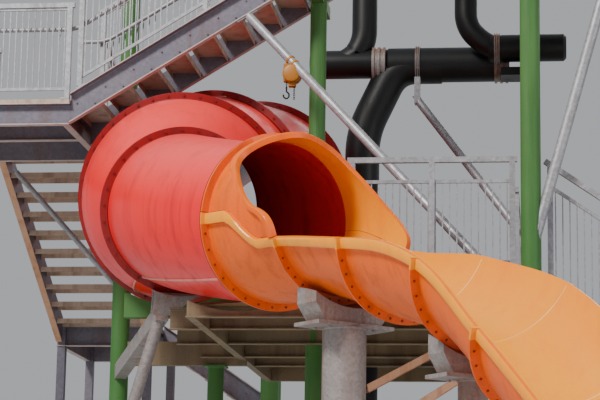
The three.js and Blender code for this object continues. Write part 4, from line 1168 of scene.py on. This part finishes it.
# %% Stays
STAYS = [((0.237, 5.50, 7.05), (1.405, 4.62, 5.345), 0.046),
    ((1.535, 1.25, 4.72), (2.615, 1.25, 8.585), 0.048),
    ((-2.90, 4.66, 4.84), (-4.06, 4.70, 6.10), 0.030)]
stays = []
for a, b, radius in STAYS:
    stays.append(pipe(a, b, radius, 28))
    for end, other in ((a, b), (b, a)):
        towards = unit(np.subtract(other, end))
        stays.append(bar(end - 0.045 * towards, end + 0.13 * towards, 2.3 * radius, 0.012))
stays.append(block((0.205, 5.44, 7.00), (0.269, 5.56, 7.30)))
wear(zinc_steel, put("Pipe_stays", *merge(*stays)))


def angle_iron(a, b, leg=0.07, thick=0.008):
    """An L section from a to b: two flat bars that share an edge."""
    a, b = np.asarray(a, float), np.asarray(b, float)
    side, up = across(b - a)
    corner = (leg - thick) / 2 * (up + side)
    return merge(bar(a, b, leg, thick), bar(a + corner, b + corner, thick, leg))


DECK_EDGE, JOIST = -1.552, 4.150
joists = [level_channel((DECK_EDGE, y, JOIST), (x, y, JOIST), (0, -1, 0), 0.206, 0.07)
    for x, y in ((-1.86, 2.273), (-1.99, 3.36), (-1.93, 4.44))]
wear(olive_steel, put("Joist_ends", *merge(*joists), smooth=False))
KNEES = [((0.165, 0.10, 3.25), (1.15, 1.86, 4.045)), ((0.16, 0.12, 2.85), (1.42, 1.21, 3.80))]
wear(tan_steel, put("Angle_stays", *merge(*[angle_iron(a, b) for a, b in KNEES]), smooth=False))
print("stays:", len(STAYS), "pipes,", len(KNEES), "angles")

# %% [markdown]
# ## The hoist on the brace
# A small chain hoist hangs from a sling round the front brace. The chain is one link, a flattened
# torus, set down many times; every other link is turned a quarter.

# %% Chain hoist
hang = np.array([-0.800, 2.654, 6.717])
slope = unit([2.554, -1.522, -2.97])
low = hang - [0, 0, 0.045]
band = [(0, 0.045), (0.002, 0.051), (0.028, 0.051), (0.03, 0.045)]
half_drum = [(0, 0.060), (0.008, 0.084), (0.018, 0.090), (0.052, 0.090), (0.056, 0.080)]
drum = half_drum + [(0.104, 0.080), (0.108, 0.090), (0.142, 0.090), (0.152, 0.084), (0.160, 0.060)]
hoist = [turned(hang + d * slope, hang + (d + 0.03) * slope, band, 28) for d in (-0.05, 0.02)]
hoist += [turned(low + [0, -0.08, -0.075], low + [0, 0, -0.075], drum, 36),
    block(low + [-0.085, -0.03, -0.15], low + [-0.02, 0.03, 0.03]),
    block(low + [0.02, -0.03, -0.10], low + [0.11, 0.03, -0.03]),
    block(low + [-0.035, -0.035, -0.20], low + [0.035, 0.035, -0.02])]
wear(yellow, put("Chain_hoist", *merge(*hoist), bevel=0.006))
print("hoist hangs at", low.tolist())

# %% Chain and hook
# A link is a torus of radius LINK and wire radius WIRE, pulled apart by STRETCH. Each hangs
# LINK_STEP below the last.
LINK, WIRE, STRETCH, LINK_STEP = 0.007, 0.0025, 0.006, 0.019
u, v = np.meshgrid(np.linspace(0, 2 * np.pi, 16, endpoint=False),
    np.linspace(0, 2 * np.pi, 8, endpoint=False), indexing="ij")
across_link = LINK + WIRE * np.cos(v)
link = np.stack([across_link * np.cos(u), WIRE * np.sin(v),
    across_link * np.sin(u) + STRETCH * np.sign(np.sin(u))], -1)
strands = np.vstack([low + [[x, 0, z]] + np.outer(np.arange(count) * LINK_STEP, [0, 0, -1])
    for x, z, count in ((0.02, -0.2, 7), (-0.055, -0.15, 4))])
odd = (np.arange(len(strands)) % 2)[:, None]
side, up = [1, 0, 0] * (1 - odd) + [0, 1, 0] * odd, [0, 1, 0] * (1 - odd) + [-1, 0, 0] * odd
chain = stamp(link.reshape(-1, 3), [grid_faces(16, 8, True, True)], strands, side, up, [0, 0, 1])
HOOK = [[0, 0, -0.17], [0, 0, -0.215], [0.024, 0, -0.235], [0.026, 0, -0.268], [0, 0, -0.288],
    [-0.026, 0, -0.270], [-0.030, 0, -0.245]]
hook = swept(rounded_line(low - [0.055, 0, 0.03] + HOOK, 0.009, 5), 0.008, 12)
wear(black, put("Hoist_chain_and_hook", *merge(chain, hook)))
print("chain links:", len(strands))

# %% [markdown]
# ## Poles under the slide
# The poles are pipe too. A smooth sleeve lies a hair outside each solid's flat sides, with weld
# beads, anchor bolts in the foot plate and bolts that pull the saddle down on to the pole's head.

# %% Pole sleeves
THICK, SLIM, SADDLE, POLE_PLATE = 0.177, 0.110, 0.205, 0.028
# Each pole: the solid's name, its station and its radius.
POLES = [("Mouth_pole", 8, THICK), ("Trough_pole_2", 10, SLIM), ("Trough_pole_3", 12, SLIM),
    ("Trough_pole_4", 14, SLIM), ("Trough_pole_5", 15, SLIM), ("Tube_pole_1", 0, SLIM),
    ("Tube_pole_2", 1, SLIM)]
sleeves = {True: [], False: []}
for name, k, radius in POLES:
    centre, go, _, up = (v[0] for v in frame_at(S[k : k + 1]))
    low = centre - (np.array([0, 0, 1]) if k == MOUTH + 1 else up) * (bore_at(S[k]) + WALL + LIP)
    x, y, top = low[0], low[1], low[2] - SADDLE
    out = radius + 0.0015
    bead = [(0.0281, out + 0.012), (0.034, out + 0.010), (0.044, out)]
    bead += [(top - 0.018, out), (top - 0.010, out + 0.008), (top - 0.0005, out + 0.009)]
    shaft = turned((x, y, 0), (x, y, 1), bead, 64)
    along = unit([go[0], go[1], 0])
    side = np.array([-along[1], along[0], 0])
    foot, deep, wide = radius + 0.075, 0.06 + radius * 0.2, radius + 0.05
    anchors = [[x, y, POLE_PLATE] + i * foot * along + j * foot * side for i, j in FOUR]
    seat = [[x, y, top] + i * deep * along + j * wide * side for i, j in FOUR]
    sleeves[name.startswith("Tube")] += [shaft,
        stamp(HEAD[0] * 1.5, HEAD[1], anchors, along, side, [0, 0, 1]),
        stamp(HEAD[0] * 1.1, HEAD[1], seat, along, -side, [0, 0, -1])]
wear(pole_zinc, put("Pole_sleeves", *merge(*sleeves[False])))
wear(green, put("Tube_pole_sleeves", *merge(*sleeves[True])))
print("poles:", len(POLES))

# %% [markdown]
# ## The raking prop
# A strap bent to the tube's flanges sits on two gusset plates, which meet a raking leg and an arm
# that ties them back to column A.

# %% Prop under the reducer
REDUCER, LEG_PIPE, LEG_PLATE, ARM = 6, 0.0575, 0.15, (0.120, 0.150)
STRAP, STRAP_THICK, GUSSET, GUSSET_THICK = 0.10, 0.016, 0.055, 0.016
STRAP_FROM, STRAP_TO = 253, 285  # degrees round the tube
centre, go, left, up = (v[0] for v in frame_at(S[REDUCER : REDUCER + 1]))
reach = float(bore_at(S[REDUCER])) + WALL + LIP
low = centre - up * reach
elbow = low + [-0.15, 0.02, -0.19]
back, foot = np.array([-2.829, 4.600, 3.900]), np.array([-3.322, 3.053, 0.008])
edge = np.array([(-1, 0), (1, 0), (1, 1), (-1, 1)]) * [STRAP, STRAP_THICK] + [0, 0.002]
turn = np.linspace(STRAP_FROM, STRAP_TO, 17)
strap = on_slide(S[REDUCER] + edge[None, :, 0], turn[:, None], reach + edge[None, :, 1])
prop = [(strap, closed_faces(len(turn), len(edge)))]
spokes = [math.cos(a) * left + math.sin(a) * up for a in np.radians([STRAP_FROM + 1, STRAP_TO - 1])]
rim = centre + (reach + 0.012) * np.array(spokes)
quad = np.vstack([rim, [elbow + 0.09 * left, elbow - 0.09 * left]])
for shift in (-GUSSET, GUSSET):
    sides = [quad + (shift + half * GUSSET_THICK) * go for half in (-0.5, 0.5)]
    prop.append((np.vstack(sides), [BOX_SIDES]))
tie = unit(back - elbow)
anchors = [foot + [0.11 * i, 0.11 * j, 0.012] for i, j in FOUR]
prop += [pipe(foot, elbow, LEG_PIPE, 40), bar(elbow - 0.06 * tie, back - 0.05 * tie, *ARM),
    block((*foot[:2] - LEG_PLATE, 0), (*foot[:2] + LEG_PLATE, 0.020)),
    stamp(*HEAD, anchors, [1, 0, 0], [0, 1, 0], [0, 0, 1])]
wear(pole_zinc, put("Prop_skin", *merge(*prop), replaces=["Tube_prop"]))
print("prop elbow at", np.round(elbow, 3).tolist())

# %% [markdown]
# ## Finishes on the remaining solids
# Flat steelwork is already right as it comes from the frame, so it only needs a finish.

# %% Dress the solids
wear(orange_outside, "Exit_hood")
for name in nodes:
    if name.startswith(("Column", "Tube_pole", "Tube_stand", "Tube_cradle")):
        wear(green, name)
    elif name.startswith(("Trough_pole", "Mouth_pole")):
        wear(pole_zinc, name)
    elif "guard" in name or name == "Brace":
        wear(zinc_steel, name)
    elif name == "Deck_frame":
        wear(olive_steel, name)
wear(plate, "Deck_floor")

# %% [markdown]
# ## Floor, light and camera
# A pale floor and broad soft lights show the colours as they are. The camera keeps the photograph's
# angle: it stands on the ground sixteen metres in front of the mouth and looks up at eleven degrees
# with a long lens, held a degree off level.

# %% Floor
FLOOR = 120.0
mesh = bpy.data.meshes.new("Floor")
mesh.from_pydata([(-FLOOR, -FLOOR, 0), (FLOOR, -FLOOR, 0), (FLOOR, FLOOR, 0), (-FLOOR, FLOOR, 0)],
    [], [(0, 1, 2, 3)])
floor = bpy.data.objects.new("Floor", mesh)
bpy.context.scene.collection.objects.link(floor)
pale = bpy.data.materials.new("pale floor")
pale.use_nodes = True
pale.node_tree.nodes["Principled BSDF"].inputs["Base Color"].default_value = rgb(214, 216, 216)
pale.node_tree.nodes["Principled BSDF"].inputs["Roughness"].default_value = 0.9
mesh.materials.append(pale)
print("floor:", 2 * FLOOR, "m across")

# %% Light
def lamp(name, where, towards, size, watts, colour):
    """A square soft box aimed at a point."""
    data = bpy.data.lights.new(name, "AREA")
    data.shape, data.size, data.energy, data.color = "SQUARE", size, watts, colour
    light = bpy.data.objects.new(name, data)
    light.location = where
    light.rotation_euler = (Vector(towards) - Vector(where)).to_track_quat("-Z", "Y").to_euler()
    bpy.context.scene.collection.objects.link(light)


lamp("key", (-13, -17, 25), (0, 1, 4), 6, 10800, (1.0, 0.97, 0.92))
lamp("side", (22, -10, 12), (1, 2, 4), 14, 2000, (1.0, 0.97, 0.93))
lamp("back", (6, 24, 18), (0, 3, 5), 12, 1000, (1.0, 0.98, 0.95))
world = bpy.data.worlds.new("studio")
world.use_nodes = True
world.node_tree.nodes["Background"].inputs[0].default_value = (0.92, 0.95, 1.0, 1.0)
world.node_tree.nodes["Background"].inputs[1].default_value = 0.46
bpy.context.scene.world = world
print("lamps:", len(bpy.data.lights))

# %% Camera
EYE = Vector((1.583, -15.981, 1.6))
YAW, PITCH, ROLL = math.radians(7), math.atan(0.2), math.radians(0.95)
ahead = Vector((-math.sin(YAW) * math.cos(PITCH), math.cos(YAW) * math.cos(PITCH), math.sin(PITCH)))
right = Vector((math.cos(YAW), math.sin(YAW), 0))
over = right.cross(ahead)
tilted = math.cos(ROLL) * right + math.sin(ROLL) * over
top = -math.sin(ROLL) * right + math.cos(ROLL) * over
lens = bpy.data.cameras.new("Camera")
lens.lens, lens.sensor_width, lens.clip_end = 120, 36, 300
camera = bpy.data.objects.new("Camera", lens)
camera.matrix_world = Matrix.Translation(EYE) @ Matrix((tilted, top, -ahead)).transposed().to_4x4()
bpy.context.scene.collection.objects.link(camera)
bpy.context.scene.camera = camera
print("camera looks along", [round(v, 3) for v in ahead])
